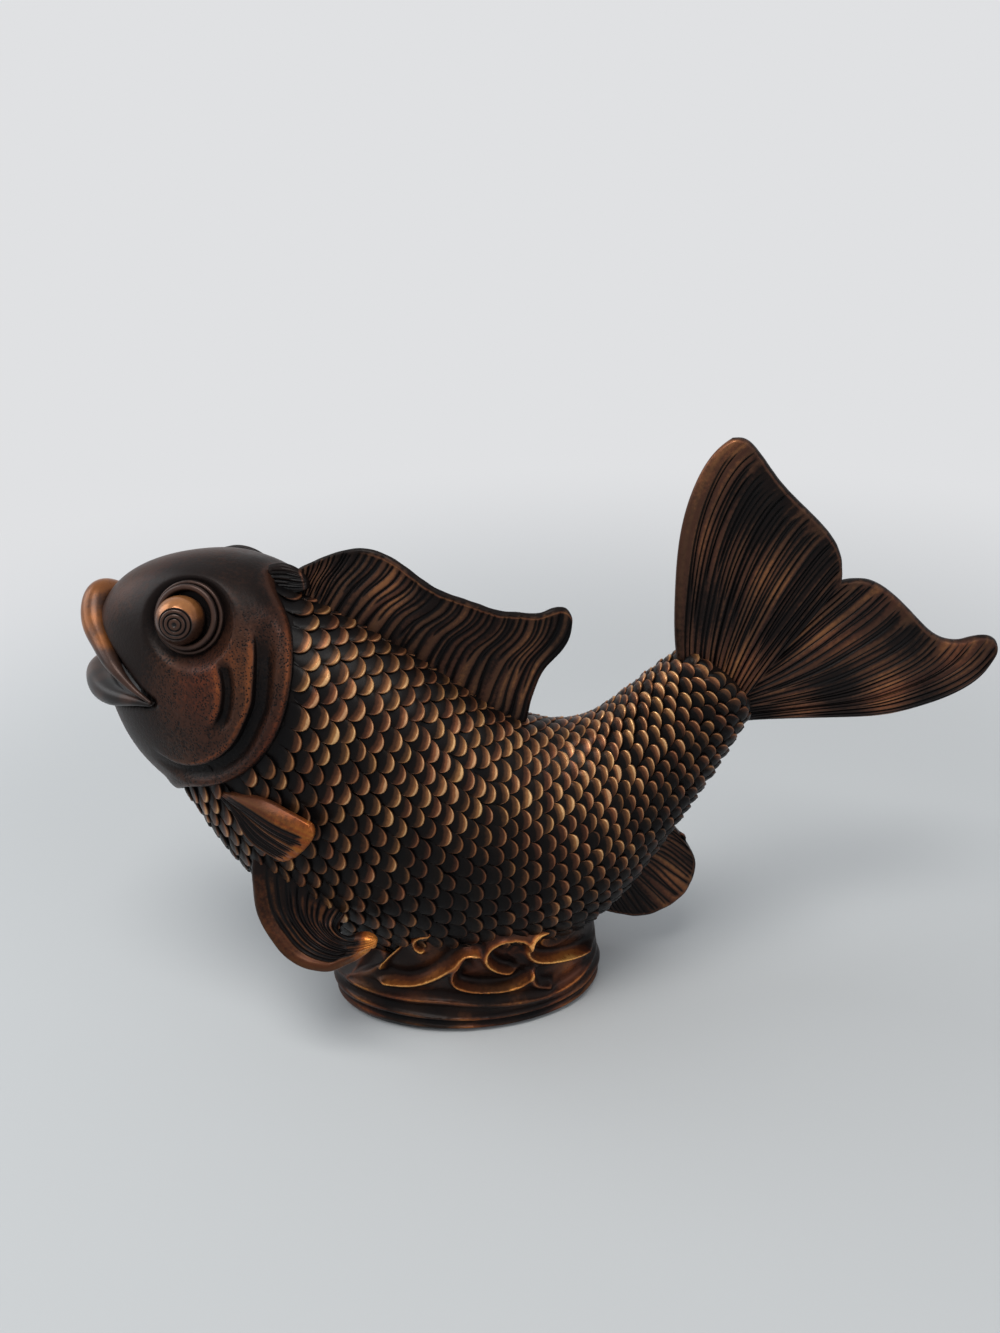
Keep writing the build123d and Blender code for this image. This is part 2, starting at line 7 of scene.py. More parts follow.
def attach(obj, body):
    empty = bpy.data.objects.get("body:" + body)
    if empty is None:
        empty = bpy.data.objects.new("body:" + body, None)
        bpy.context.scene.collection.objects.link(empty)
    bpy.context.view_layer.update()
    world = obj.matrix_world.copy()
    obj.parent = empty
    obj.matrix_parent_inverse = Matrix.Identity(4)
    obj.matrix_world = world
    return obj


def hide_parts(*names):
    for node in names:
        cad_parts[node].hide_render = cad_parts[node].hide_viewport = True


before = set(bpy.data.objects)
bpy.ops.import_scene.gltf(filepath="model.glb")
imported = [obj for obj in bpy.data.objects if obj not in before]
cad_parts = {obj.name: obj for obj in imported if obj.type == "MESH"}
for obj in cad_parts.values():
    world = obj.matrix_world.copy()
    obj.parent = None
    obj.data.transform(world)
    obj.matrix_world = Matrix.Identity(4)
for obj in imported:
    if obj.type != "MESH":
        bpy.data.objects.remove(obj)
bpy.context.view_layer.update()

MM = 0.001
rng = np.random.default_rng(11)

# camera, solved from the photo: angles, focal length in pixels and place in millimetres
PITCH, ROLL = math.radians(25.39), math.radians(3.44)
FOCAL, PHOTO_HEIGHT, SENSOR = 1036.0, 1333.0, 36.0
CAMERA_PLACE = Vector((20.15, -323.05, 289.25))
cam_data = bpy.data.cameras.new("camera")
cam_data.sensor_width = SENSOR
cam_data.lens = FOCAL / PHOTO_HEIGHT * SENSOR
cam_data.clip_start, cam_data.clip_end = 0.01, 50.0
camera = bpy.data.objects.new("camera", cam_data)
bpy.context.scene.collection.objects.link(camera)
right = Vector((math.cos(ROLL), -math.sin(ROLL) * math.sin(PITCH), -math.sin(ROLL) * math.cos(PITCH)))
up = Vector((math.sin(ROLL), math.cos(ROLL) * math.sin(PITCH), math.cos(ROLL) * math.cos(PITCH)))
back = Vector((0.0, -math.cos(PITCH), math.sin(PITCH)))
turn = Matrix((right, up, back)).transposed().to_4x4()
camera.matrix_world = Matrix.Translation(CAMERA_PLACE * MM) @ turn
bpy.context.scene.camera = camera

# curves and surfaces, in millimetres
BODY_L, BODY_H, BODY_W = 240.0, 182.0, 73.0
HEAD_BEND, HEAD_REACH = 23.0, 120.0
TAIL_BEND, TAIL_REACH = 24.8, 205.0
ROUNDNESS = 2.15
TURN = 2 * math.pi
LATHE_STEPS, WELD_MM, VOXEL_MM = 144, 0.01, 0.42


def spline(knots, values, at):
    """Natural cubic spline through the rows of values."""
    knots = np.asarray(knots, float)
    values = np.asarray(values, float)
    flat = values.reshape(len(knots), -1)
    h = np.diff(knots)
    n = len(knots)
    matrix = np.eye(n)
    rhs = np.zeros_like(flat)
    for i in range(1, n - 1):
        matrix[i, i - 1:i + 2] = h[i - 1], 2 * (h[i - 1] + h[i]), h[i]
        rhs[i] = 6 * ((flat[i + 1] - flat[i]) / h[i] - (flat[i] - flat[i - 1]) / h[i - 1])
    m = np.linalg.solve(matrix, rhs)
    at = np.asarray(at, float)
    x = at.ravel()
    i = np.clip(np.searchsorted(knots, x) - 1, 0, n - 2)
    hi = h[i][:, None]
    a = (knots[i + 1] - x)[:, None] / hi
    b = (x - knots[i])[:, None] / hi
    out = a * flat[i] + b * flat[i + 1] + ((a ** 3 - a) * m[i] + (b ** 3 - b) * m[i + 1]) * hi ** 2 / 6
    return out.reshape(at.shape + values.shape[1:])


def arc_knots(points):
    """Share of the arc length at each point."""
    d = np.linalg.norm(np.diff(points, axis=0), axis=1)
    s = np.concatenate([[0], np.cumsum(d)])
    return s / s[-1]


def along(points, at):
    """Points at shares of the arc length of a smooth curve through points."""
    points = np.asarray(points, float)
    if len(points) == 2:
        at = np.asarray(at, float)[..., None]
        return points[0] * (1 - at) + points[1] * at
    knots = arc_knots(points)
    fine = spline(knots, points, np.linspace(0, 1, 400))
    cumulative = arc_knots(fine)
    return spline(knots, points, np.interp(at, cumulative, np.linspace(0, 1, 400)))


def unit(v, least=0.0):
    """Vectors along the last axis at length 1."""
    return v / (np.linalg.norm(v, axis=-1, keepdims=True) + least)


def sheet_y(x):
    """Sideways place of the body's bent middle sheet at x."""
    s = np.clip(x, 0, None) / TAIL_REACH
    return np.where(x < 0, HEAD_BEND * (x / HEAD_REACH) ** 2, TAIL_BEND * s ** 2 * 2 / (1 + s))


def sheet_n(x):
    """Unit normal of the sheet at x."""
    e = 0.24
    slope = (sheet_y(x + e) - sheet_y(x - e)) / (2 * e)
    return unit(np.stack([-slope, np.ones_like(slope), np.zeros_like(slope)], -1))


def on_sheet(x, z, side=0.0):
    """Points in space at x and z on the sheet and a distance beside it."""
    x, z, side = np.broadcast_arrays(np.asarray(x, float), np.asarray(z, float), np.asarray(side, float))
    return np.stack([x, sheet_y(x), z], -1) + sheet_n(x) * side[..., None]


def sheet_coords(p):
    """Sheet x, z and side of points in space."""
    x = p[..., 0].copy()
    for _ in range(8):
        n = sheet_n(x)
        side = (p[..., 1] - sheet_y(x)) / n[..., 1]
        x = p[..., 0] - n[..., 0] * side
    return x, p[..., 2], side


# from snout to tail: upper x and z, lower x and z and half width, as shares; DOME rounds out the rear end
STATIONS = np.array([(-0.482, 0.882, -0.492, 0.715, 0.25), (-0.46, 0.924, -0.479, 0.662, 0.41),
    (-0.417, 0.963, -0.46, 0.595, 0.57), (-0.345, 0.989, -0.424, 0.541, 0.74),
    (-0.258, 0.978, -0.38, 0.486, 0.87), (-0.183, 0.912, -0.348, 0.398, 0.95),
    (-0.104, 0.85, -0.29, 0.28, 0.99), (-0.008, 0.755, -0.17, 0.156, 1), (0.083, 0.65, 0.021, 0.093, 0.93),
    (0.167, 0.602, 0.2, 0.162, 0.77), (0.238, 0.624, 0.298, 0.295, 0.59), (0.296, 0.682, 0.377, 0.436, 0.46),
    (0.344, 0.727, 0.446, 0.580, 0.37)]) * [BODY_L, BODY_H, BODY_L, BODY_H, BODY_W / 2]
LAST = len(STATIONS) - 1.0
DOME = 8.6


def body_surface(t, phi):
    """Point of the body at station t and angle phi, 0 on the back. It rounds off past the last station."""
    t, phi = np.broadcast_arrays(np.asarray(t, float), np.asarray(phi, float))
    over = np.clip(t - LAST, 0, 1)
    row = spline(np.arange(LAST + 1), STATIONS, np.clip(t, 0, LAST))
    top = on_sheet(row[..., 0], row[..., 1])
    bottom = on_sheet(row[..., 2], row[..., 3])
    centre = (top + bottom) / 2
    chord = top - bottom
    height = np.linalg.norm(chord, axis=-1, keepdims=True)
    chord = chord / height
    across = sheet_n(centre[..., 0])
    outward = np.cross(across, chord)
    shrink = np.cos(over * math.pi / 2)[..., None]
    c, s = np.cos(phi)[..., None], np.sin(phi)[..., None]
    rise = np.sign(c) * np.abs(c) ** (2 / ROUNDNESS)
    spread = np.sign(s) * np.abs(s) ** (2 / ROUNDNESS)
    reach = DOME * np.sin(over * math.pi / 2)[..., None]
    return (centre + outward * reach + chord * rise * height / 2 * shrink
            + across * spread * row[..., 4:5] * shrink)


def body_frame(t, phi):
    """Point, directions to the tail, round and out of the body, and millimetres per unit of t and phi."""
    e = 0.01
    p = body_surface(t, phi)
    dt = (body_surface(t + e, phi) - body_surface(t - e, phi)) / (2 * e)
    dp = (body_surface(t, phi + e) - body_surface(t, phi - e)) / (2 * e)
    lt = np.linalg.norm(dt, axis=-1, keepdims=True)
    lp = np.linalg.norm(dp, axis=-1, keepdims=True)
    n = unit(np.cross(dt, dp), 1e-12)
    return p, dt / (lt + 1e-9), dp / (lp + 1e-9), n, lt[..., 0], lp[..., 0]


def body_out(t, phi, out):
    """Points a distance outside the body."""
    p, _, _, n, _, _ = body_frame(t, phi)
    return p + n * np.asarray(out)[..., None]


def polyline_distance(px, pz, curve):
    """Signed distance from points to an open curve, positive on its left, and the share along it."""
    best = np.full(px.shape, 1e9)
    share = np.zeros(px.shape)
    sign = np.ones(px.shape)
    a = curve[:-1]
    d = curve[1:] - a
    length = (d ** 2).sum(1)
    for i in range(len(a)):
        rx, rz = px - a[i, 0], pz - a[i, 1]
        u = np.clip((rx * d[i, 0] + rz * d[i, 1]) / length[i], 0, 1)
        ex, ez = rx - u * d[i, 0], rz - u * d[i, 1]
        dist = np.hypot(ex, ez)
        closer = dist < best
        best = np.where(closer, dist, best)
        share = np.where(closer, (i + u) / len(a), share)
        sign = np.where(closer, np.sign(d[i, 0] * rz - d[i, 1] * rx), sign)
    return best * sign, share


def smooth(edge0, edge1, x):
    """Smooth step from 0 to 1 between two edges."""
    u = np.clip((x - edge0) / (edge1 - edge0), 0, 1)
    return u * u * (3 - 2 * u)


def bell(x, middle, width):
    """Bell curve of height 1."""
    return np.exp(-((x - middle) / width) ** 2)


def noise_field(p, size, seed):
    """Smooth noise of about unit spread from a sum of random waves."""
    r = np.random.default_rng(seed)
    total = np.zeros(p.shape[:-1])
    for _ in range(10):
        direction = r.normal(size=3)
        direction /= np.linalg.norm(direction)
        total += np.sin((p @ direction) * (2 * math.pi / (size * r.uniform(0.7, 1.5))) + r.uniform(0, 6.28))
    return total / math.sqrt(5)


# mesh helpers
def smooth_shade(mesh):
    mesh.polygons.foreach_set("use_smooth", [True] * len(mesh.polygons))


def set_attributes(obj, **attributes):
    """Gives every point a number per attribute, from an array or one value for all."""
    for key, values in attributes.items():
        layer = obj.data.attributes.new(key, "FLOAT", "POINT")
        values = np.broadcast_to(np.ravel(values), len(obj.data.vertices))
        layer.data.foreach_set("value", np.ascontiguousarray(values, dtype=np.float32))


def make_object(name, verts, faces, **attributes):
    """Smooth-shaded mesh object from points in millimetres."""
    mesh = bpy.data.meshes.new(name)
    mesh.from_pydata((verts * MM).tolist(), [], faces.tolist())
    mesh.validate()
    mesh.update()
    smooth_shade(mesh)
    obj = bpy.data.objects.new(name, mesh)
    bpy.context.scene.collection.objects.link(obj)
    set_attributes(obj, **attributes)
    return obj


def grid_faces(nu, nv, wrap_v=False, offset=0, flip=False):
    """Quads of a grid whose rows run along u."""
    u = np.arange(nu - 1)[:, None]
    v = np.arange(nv if wrap_v else nv - 1)[None, :]
    w = (v + 1) % nv
    corners = u * nv + v, u * nv + w, (u + 1) * nv + w, (u + 1) * nv + v
    quads = np.stack(np.broadcast_arrays(*corners), -1).reshape(-1, 4)
    return (quads[:, ::-1] if flip else quads) + offset


def outward_faces(verts, faces):
    """Faces turned so that a closed mesh has a positive volume."""
    f = np.asarray(faces)
    a, b, c, d = (verts[f[:, i]] for i in range(4))
    volume = (np.einsum("ij,ij->i", a, np.cross(b, c)) + np.einsum("ij,ij->i", a, np.cross(c, d))).sum()
    return f if volume > 0 else f[:, ::-1]


def closed_tube(rings):
    """Points and faces of a closed tube from rings of points. Thin quads shut each end to its middle."""
    n, m, _ = rings.shape
    first = np.repeat(rings[0].mean(0)[None], m, 0)
    last = np.repeat(rings[-1].mean(0)[None], m, 0)
    full = np.concatenate([first[None], rings, last[None]])
    verts = full.reshape(-1, 3)
    faces = grid_faces(n + 2, m, wrap_v=True)
    return verts, outward_faces(verts, faces)


def with_ends(values):
    """Values of a closed tube's rings, with those of its two end points."""
    return np.concatenate([values[:1], values, values[-1:]]).ravel()


def apply_modifier(obj, kind, **settings):
    """Applies one modifier to the mesh."""
    mod = obj.modifiers.new(kind.lower(), kind)
    for key, value in settings.items():
        setattr(mod, key, value)
    bpy.context.view_layer.update()
    depsgraph = bpy.context.evaluated_depsgraph_get()
    mesh = bpy.data.meshes.new_from_object(obj.evaluated_get(depsgraph))
    old = obj.data
    obj.modifiers.clear()
    obj.data = mesh
    bpy.data.meshes.remove(old)
    smooth_shade(mesh)


def mesh_arrays(obj):
    """Points in millimetres, their normals and the edges of a mesh."""
    mesh = obj.data
    verts = np.empty(len(mesh.vertices) * 3)
    mesh.vertices.foreach_get("co", verts)
    normals = np.empty(len(mesh.vertices) * 3, np.float32)
    mesh.vertices.foreach_get("normal", normals)
    edges = np.empty(len(mesh.edges) * 2, int)
    mesh.edges.foreach_get("vertices", edges)
    return verts.reshape(-1, 3) / MM, normals.reshape(-1, 3).astype(float), edges.reshape(-1, 2)


def relax(values, edges, steps):
    """Averages rows of values over the mesh's edges."""
    degree = np.bincount(edges.ravel(), minlength=len(values)).astype(float)[:, None]
    values = values.copy()
    for _ in range(steps):
        total = np.empty_like(values)
        for k in range(values.shape[1]):
            total[:, k] = (np.bincount(edges[:, 0], weights=values[edges[:, 1], k], minlength=len(values))
                           + np.bincount(edges[:, 1], weights=values[edges[:, 0], k], minlength=len(values)))
        values += (total / np.maximum(degree, 1) - values) * 0.5
    return values


def relief(obj, steps, gain):
    """Height over the smoothed surface, about 0.5 where it is flat: low in hollows and high on ridges."""
    verts, normals, edges = mesh_arrays(obj)
    height = ((verts - relax(verts, edges, steps)) * normals).sum(1)
    return np.clip(0.5 + height * gain, 0, 1)


# materials
def srgb(*colour):
    """Linear colour from sRGB bytes."""
    shares = [c / 255 for c in colour]
    return tuple(c / 12.92 if c <= 0.04045 else ((c + 0.055) / 1.055) ** 2.4 for c in shares) + (1.0,)


def node_adder(tree):
    """Function that adds a node, sets its sockets to values or links them, and gives one output."""
    def add(kind, sockets, result=0, **settings):
        node = tree.nodes.new("ShaderNode" + kind)
        for key, value in settings.items():
            setattr(node, key, value)
        for key, value in sockets.items():
            if isinstance(value, bpy.types.NodeSocket):
                tree.links.new(value, node.inputs[key])
            else:
                node.inputs[key].default_value = value
        return node.outputs[result]
    return add


SPECULAR, COAT_ROUGHNESS, HOLLOW_METAL = 0.08, 0.28, 0.20
NOISE_PATCH, NOISE_FINE, NOISE_GRAIN, NOISE_CLUSTER, PIT_SCALE = 55.0, 650.0, 900.0, 260.0, 1250.0


def bronze(name, places, colours, rough, metal, speckle, grain, coat=0.04, patch=0.25, pitted=False):
    """Antique bronze paint: a per-point attribute of wear and painted light picks a colour, from dark
    hollows and painted shade to rubbed edges and painted highlights.
    """
    mat = bpy.data.materials.new(name)
    mat.use_nodes = True
    add = node_adder(mat.node_tree)
    spot = add("TexCoord", {}, "Object")

    def calc(kind, a, b):
        return add("Math", {0: a, 1: b}, operation=kind)

    def noise(scale, detail, roughness=0.55):
        settings = {"Vector": spot, "Scale": scale, "Detail": detail, "Roughness": roughness}
        return add("TexNoise", settings, "Fac")

    def attribute(key):
        return add("Attribute", {}, "Fac", attribute_name=key)

    def span(value, low, high, near=0.0, far=1.0, **settings):
        limits = {"From Min": low, "From Max": high, "To Min": near, "To Max": far}
        return add("MapRange", {"Value": value, **limits}, "Result", **settings)

    fine = noise(NOISE_FINE, 4.0, 0.65)
    shift = calc("MULTIPLY", calc("SUBTRACT", noise(NOISE_PATCH, 3.0), 0.5), patch)
    speck = calc("MULTIPLY", calc("SUBTRACT", fine, 0.5), speckle * 2.2)
    level = calc("ADD", calc("ADD", attribute("wear"), shift), speck)
    height = noise(NOISE_GRAIN, 5.0, 0.6)
    if pitted:
        dots = add("TexVoronoi", {"Vector": spot, "Scale": PIT_SCALE, "Randomness": 1.0}, "Distance")
        hole = span(dots, 0.46, 0.26, interpolation_type="SMOOTHSTEP")
        clusters = span(noise(NOISE_CLUSTER, 3.0), 0.40, 0.60)
        pit = calc("MULTIPLY", calc("MULTIPLY", hole, clusters), attribute("pits"))
        level = calc("SUBTRACT", level, calc("MULTIPLY", pit, 0.46))
        height = calc("SUBTRACT", height, calc("MULTIPLY", pit, 1.6))
    level = calc("MAXIMUM", calc("MINIMUM", level, 1.0), 0.0)
    ramp = add("ValToRGB", {"Fac": level}, "Color")
    ramp.node.color_ramp.interpolation = "EASE"
    elements = ramp.node.color_ramp.elements
    while len(elements) < len(colours):
        elements.new(0.5)
    for element, position, colour in zip(elements, (0.0, *places, 1.0), colours):
        element.position = position
        element.color = srgb(*colour)
    tint = attribute("tint")
    hue = calc("ADD", 0.491, calc("MULTIPLY", tint, 0.018))
    value = calc("ADD", 0.86, calc("MULTIPLY", tint, 0.28))
    blur = calc("ADD", span(level, 0.0, 1.0, *rough), calc("MULTIPLY", calc("SUBTRACT", fine, 0.5), 0.30))
    bump = add("Bump", {"Strength": grain, "Distance": 0.00025, "Height": height}, "Normal")
    colour = add("HueSaturation", {"Color": ramp, "Hue": hue, "Value": value}, "Color")
    shine = span(level, 0, 1, HOLLOW_METAL, metal)
    inputs = mat.node_tree.nodes["Principled BSDF"].inputs
    for key, socket in {"Base Color": colour, "Roughness": blur, "Metallic": shine, "Normal": bump}.items():
        mat.node_tree.links.new(socket, inputs[key])
    inputs["Specular IOR Level"].default_value = SPECULAR
    inputs["Coat Weight"].default_value = coat
    inputs["Coat Roughness"].default_value = COAT_ROUGHNESS
    return mat


# paints: where the inner stops lie, the colours from hollow or painted shade to rubbed edge or painted
# highlight, the roughness of both, the rest
scale_paint = bronze("scale_bronze_paint", (0.30, 0.55, 0.80),
                     ((8, 7, 8), (19, 14, 12), (66, 42, 29), (130, 85, 54), (196, 150, 106)),
                     rough=(0.50, 0.30), metal=0.60, speckle=0.10, grain=0.20, patch=0.20)
head_paint = bronze("head_bronze_paint", (0.28, 0.52, 0.76),
                    ((9, 8, 9), (24, 17, 15), (60, 38, 29), (104, 58, 36), (166, 98, 54)),
                    rough=(0.46, 0.34), metal=0.60, speckle=0.14, grain=0.30, pitted=True)
lip_paint = bronze("lip_bronze_paint", (0.28, 0.52, 0.76),
                   ((9, 8, 9), (26, 21, 20), (66, 48, 40), (124, 78, 42), (176, 118, 60)),
                   rough=(0.42, 0.28), metal=0.50, speckle=0.10, grain=0.12, coat=0.15, patch=0.20)
eye_paint = bronze("eye_bronze_paint", (0.30, 0.55, 0.78),
                   ((9, 8, 9), (24, 17, 15), (68, 45, 33), (124, 78, 44), (180, 122, 70)),
                   rough=(0.34, 0.22), metal=0.55, speckle=0.06, grain=0.08, coat=0.35, patch=0.12)
fin_paint = bronze("fin_bronze_paint", (0.30, 0.55, 0.78),
                   ((9, 8, 9), (24, 17, 15), (70, 46, 35), (118, 75, 50), (172, 120, 80)),
                   rough=(0.50, 0.32), metal=0.55, speckle=0.14, grain=0.25)
leaf_paint = bronze("leaf_bronze_paint", (0.30, 0.55, 0.78),
                    ((9, 8, 9), (24, 16, 14), (76, 44, 27), (132, 73, 34), (192, 120, 54)),
                    rough=(0.44, 0.27), metal=0.55, speckle=0.14, grain=0.25)
wave_paint = bronze("wave_bronze_paint", (0.30, 0.55, 0.78),
                    ((10, 9, 10), (30, 20, 17), (78, 46, 30), (142, 86, 42), (206, 150, 82)),
                    rough=(0.42, 0.28), metal=0.55, speckle=0.12, grain=0.20)


def finish_piece(obj, material, slot, *nodes):
    """Paints a piece, rides it on the body and hides the CAD parts of the nodes that it stands for. The slot
    is not used.
    """
    obj.data.materials.append(material)
    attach(obj, "root")
    if nodes:
        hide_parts(*nodes)


def add_piece(name, mesh, finish, welded=False, **attributes):
    """Finished piece from a pair of points and faces."""
    obj = make_object(name, *mesh, **attributes)
    if welded:
        apply_modifier(obj, "WELD", merge_threshold=WELD_MM * MM)
    finish_piece(obj, *finish)


SKIN_FINISH = (scale_paint, "scaled_bronze", "trunk")
LIP_FINISH = (lip_paint, "head_bronze", "head")


# gill edge from the nape to the throat, x and z as shares
GILL_EDGE = np.array([
    (-0.245, 1), (-0.213, 0.94), (-0.187, 0.885), (-0.18, 0.82), (-0.189, 0.753), (-0.225, 0.667),
    (-0.285, 0.609), (-0.345, 0.575), (-0.385, 0.52), (-0.405, 0.42)]) * [BODY_L, BODY_H]
gill_curve = along(GILL_EDGE, np.linspace(0, 1, 90))


def behind_gill(p):
    """Signed distance behind the gill edge, seen along the sheet's normal."""
    x, z, _ = sheet_coords(p)
    return polyline_distance(x, z, gill_curve)[0]


# trunk skin: lies under the scales, rounds off at the tail's root and sinks ahead of the gill edge
SKIN_DEPTH, ROOT_RISE, NECK_SINK = 0.75, 0.55, 7.0
t_rows = np.concatenate([np.linspace(2.8, LAST, 150), LAST + np.linspace(0, 1, 26)[1:]])
skin_t, skin_phi = np.meshgrid(t_rows, np.linspace(0, TURN, 160, endpoint=False), indexing="ij")
at_root = np.clip((skin_t - LAST) * 3, 0, 1)
skin_t = np.clip(skin_t, 0, LAST + 0.985)
neck = smooth(-1.0, -5.0, behind_gill(body_surface(skin_t, skin_phi)))
skin_out = -SKIN_DEPTH + ROOT_RISE * at_root - NECK_SINK * neck
skin = closed_tube(body_out(skin_t, skin_phi, skin_out))
add_piece("trunk_skin", skin, SKIN_FINISH, wear=with_ends(0.16 + 0.10 * at_root), tint=0.4)

# scales: width by station, and the step between rings of scales as a share of it
SCALE_WIDTH = ([0, 6, 8, 9.5, 11, 12.4], [7.6, 7.8, 7.6, 7.2, 6.8, 6.4])
RING_STEP = 0.60
STRETCH = 0.866 / RING_STEP


def perimeter(t):
    ring = body_surface(np.full(200, t), np.linspace(0, TURN, 200))
    return np.linalg.norm(np.diff(ring, axis=0), axis=1).sum()


# staggered rings of places, which then push each other apart
points_t, points_phi = [], []
t_now, shift = 3.0, 0.0
fine = np.linspace(0, TURN, 721)
while t_now < LAST + 0.36:
    width = np.interp(t_now, *SCALE_WIDTH)
    count = max(8, int(round(perimeter(t_now) / width)))
    ring = body_surface(np.full(len(fine), t_now), fine)
    shares = arc_knots(ring)
    places = (np.arange(count) + 0.5 * shift) / count
    points_phi.append(np.interp(places % 1.0, shares, fine))
    points_t.append(np.full(count, t_now))
    _, _, _, _, lt, _ = body_frame(np.array([t_now]), np.array([math.pi / 2]))
    t_now += width * RING_STEP / float(lt[0])
    shift = 1.0 - shift
pt = np.concatenate(points_t)
pp = np.concatenate(points_phi)
pt += rng.normal(0, 0.004, len(pt))
for _ in range(36):
    p, tang, ring_dir, _, lt, lp = body_frame(pt, pp)
    delta = p[None, :, :] - p[:, None, :]
    go = np.einsum("ijk,ik->ij", delta, tang)
    dist = np.sqrt((delta ** 2).sum(-1) + (STRETCH ** 2 - 1) * go ** 2) + np.eye(len(pt)) * 1e3
    want = np.interp(pt, *SCALE_WIDTH) * 1.06
    push = np.clip(1 - dist / want[:, None], 0, None)
    force = -(push / dist)[..., None] * delta
    total = force.sum(1) * 1.6
    pt = np.clip(pt + (total * tang).sum(-1) / lt, 2.9, LAST + 0.40)
    pp = pp + (total * ring_dir).sum(-1) / lp
shown = behind_gill(body_surface(pt, pp)) > 1.2
pt, pp = pt[shown], pp[shown] % TURN

# one grid per scale: A runs across it, B from its root to its rim
NA, NB = 13, 14
a = np.sin(np.linspace(-1, 1, NA) * math.pi / 2)[None, :]
b = np.concatenate([np.linspace(0, 0.84, NB - 6), [0.89, 0.93, 0.965, 0.99, 1.0, 1.0]])[:, None]
n_scales = len(pt)
width = np.interp(pt, *SCALE_WIDTH) * rng.uniform(0.96, 1.10, n_scales)
from_back = np.abs((pp + math.pi) % TURN - math.pi)
belly = smooth(2.1, 2.8, from_back)
tail_root = smooth(9.0, 11.0, pt)
width *= 1 - 0.08 * belly
length = width * (1.30 - 0.16 * tail_root) * rng.uniform(0.94, 1.06, n_scales)
lift = rng.uniform(0.85, 1.25, n_scales) * (1 - 0.30 * belly)
swing = rng.normal(0, 0.09, n_scales)
centre_shift = rng.normal(0, 0.18, (n_scales, 2))
bulge = rng.uniform(0.8, 1.25, n_scales) * (1 + 0.35 * tail_root)
_, _, _, _, lt, lp = body_frame(pt, pp)
A, B = np.broadcast_arrays(a, b)
edge = 0.58 + 0.42 * np.sqrt(np.clip(1 - np.abs(A) ** 2.3, 0, 1))
half = 0.5 * (0.88 + 0.12 * np.sin(np.clip(B, 0, 1) * math.pi * 0.75))
X = (B * edge)[None] * length[:, None, None] - 0.62 * length[:, None, None]
Y = (A * half)[None] * width[:, None, None]
X2 = X * np.cos(swing)[:, None, None] - Y * np.sin(swing)[:, None, None] + centre_shift[:, 0, None, None]
Y2 = X * np.sin(swing)[:, None, None] + Y * np.cos(swing)[:, None, None] + centre_shift[:, 1, None, None]
T = pt[:, None, None] + X2 / lt[:, None, None]
PHI = pp[:, None, None] + Y2 / lp[:, None, None]
crown = 1 - np.abs(A) ** 2.4
height = -0.80 + 1.30 * smooth(0.0, 0.92, B)
dome = 0.62 * crown * smooth(0.15, 0.70, B) * (1 - 0.55 * smooth(0.80, 1.0, B))
bead = 0.24 * bell(B, 0.925, 0.045) - 0.14 * bell(B, 0.80, 0.06)
profile = height[None] + (dome + bead)[None] * bulge[:, None, None]
profile = profile * np.where(profile > 0, lift[:, None, None], 1.0)
profile = profile - (0.42 * np.abs(A) ** 6)[None]
for row, drop in ((-4, 0.05), (-3, 0.18), (-2, 0.48)):
    profile[:, row, :] -= drop
profile[:, -1, :] = -1.3
T = np.clip(T, 0.1, LAST + 0.97)
OUT = body_out(T, PHI, profile)
scale_f = (grid_faces(NB, NA)[None] + (np.arange(n_scales) * NA * NB)[:, None, None]).reshape(-1, 4)
probe = OUT[0]
face_n = np.cross(probe[6, 6] - probe[5, 5], probe[6, 5] - probe[5, 6])
if face_n @ (probe[5, 5] - np.array([0, 0, 100.0])) < 0:
    scale_f = scale_f[:, ::-1]
mid_tone = smooth(0.52, 0.84, B) * (1 - 0.65 * np.abs(A) ** 3)
rim_tone = bell(B, 0.935, 0.045) * (1 - 0.35 * np.abs(A) ** 3)
places = body_surface(pt, pp)
patch = 0.10 * noise_field(places, 60.0, 3)
per = rng.normal(0, 0.09, n_scales) + patch - 0.10 * smooth(6.0, 3.6, pt)
# painted light on the scales: the back is painted a little lighter, the belly darker as painted shade, and a
# painted highlight lies on the upper flank at mid body
rubbed_flank = np.exp(-((pt - 8.0) / 1.8) ** 2 - ((from_back - 1.0) / 0.5) ** 2)
high = smooth(0.10, 0.95, np.cos(pp)) * 0.10 - 0.26 * belly + 0.12 * rubbed_flank
mid_wear, rim_wear = (0.46 + per + high)[:, None, None], (0.32 + 0.8 * high)[:, None, None]
scale_wear = 0.07 + mid_wear * mid_tone[None] + rim_wear * rim_tone[None]
scale_wear = np.clip(scale_wear - 0.30 * smooth(0.97, 1.0, B)[None], 0, 1)
scale_tint = np.broadcast_to(rng.uniform(0, 1, n_scales)[:, None, None], scale_wear.shape)
add_piece("body_scales", (OUT.reshape(-1, 3), scale_f), SKIN_FINISH, wear=scale_wear, tint=scale_tint)


# fins
def coons(left, right, root, rim, s, t, root_map):
    """Surface patch between four edge curves: s runs from left to right, t from root to rim."""
    S, Tt = np.meshgrid(s, t, indexing="ij")
    Lc, Rc = along(left, t)[None], along(right, t)[None]
    Bc, Tc = along(root, root_map(s))[:, None], along(rim, s)[:, None]
    S3, T3 = S[..., None], Tt[..., None]
    corners = ((1 - S3) * (1 - T3) * Bc[:1] + S3 * (1 - T3) * Bc[-1:]
               + (1 - S3) * T3 * Tc[:1] + S3 * T3 * Tc[-1:])
    return (1 - S3) * Lc + S3 * Rc + (1 - T3) * Bc + T3 * Tc - corners


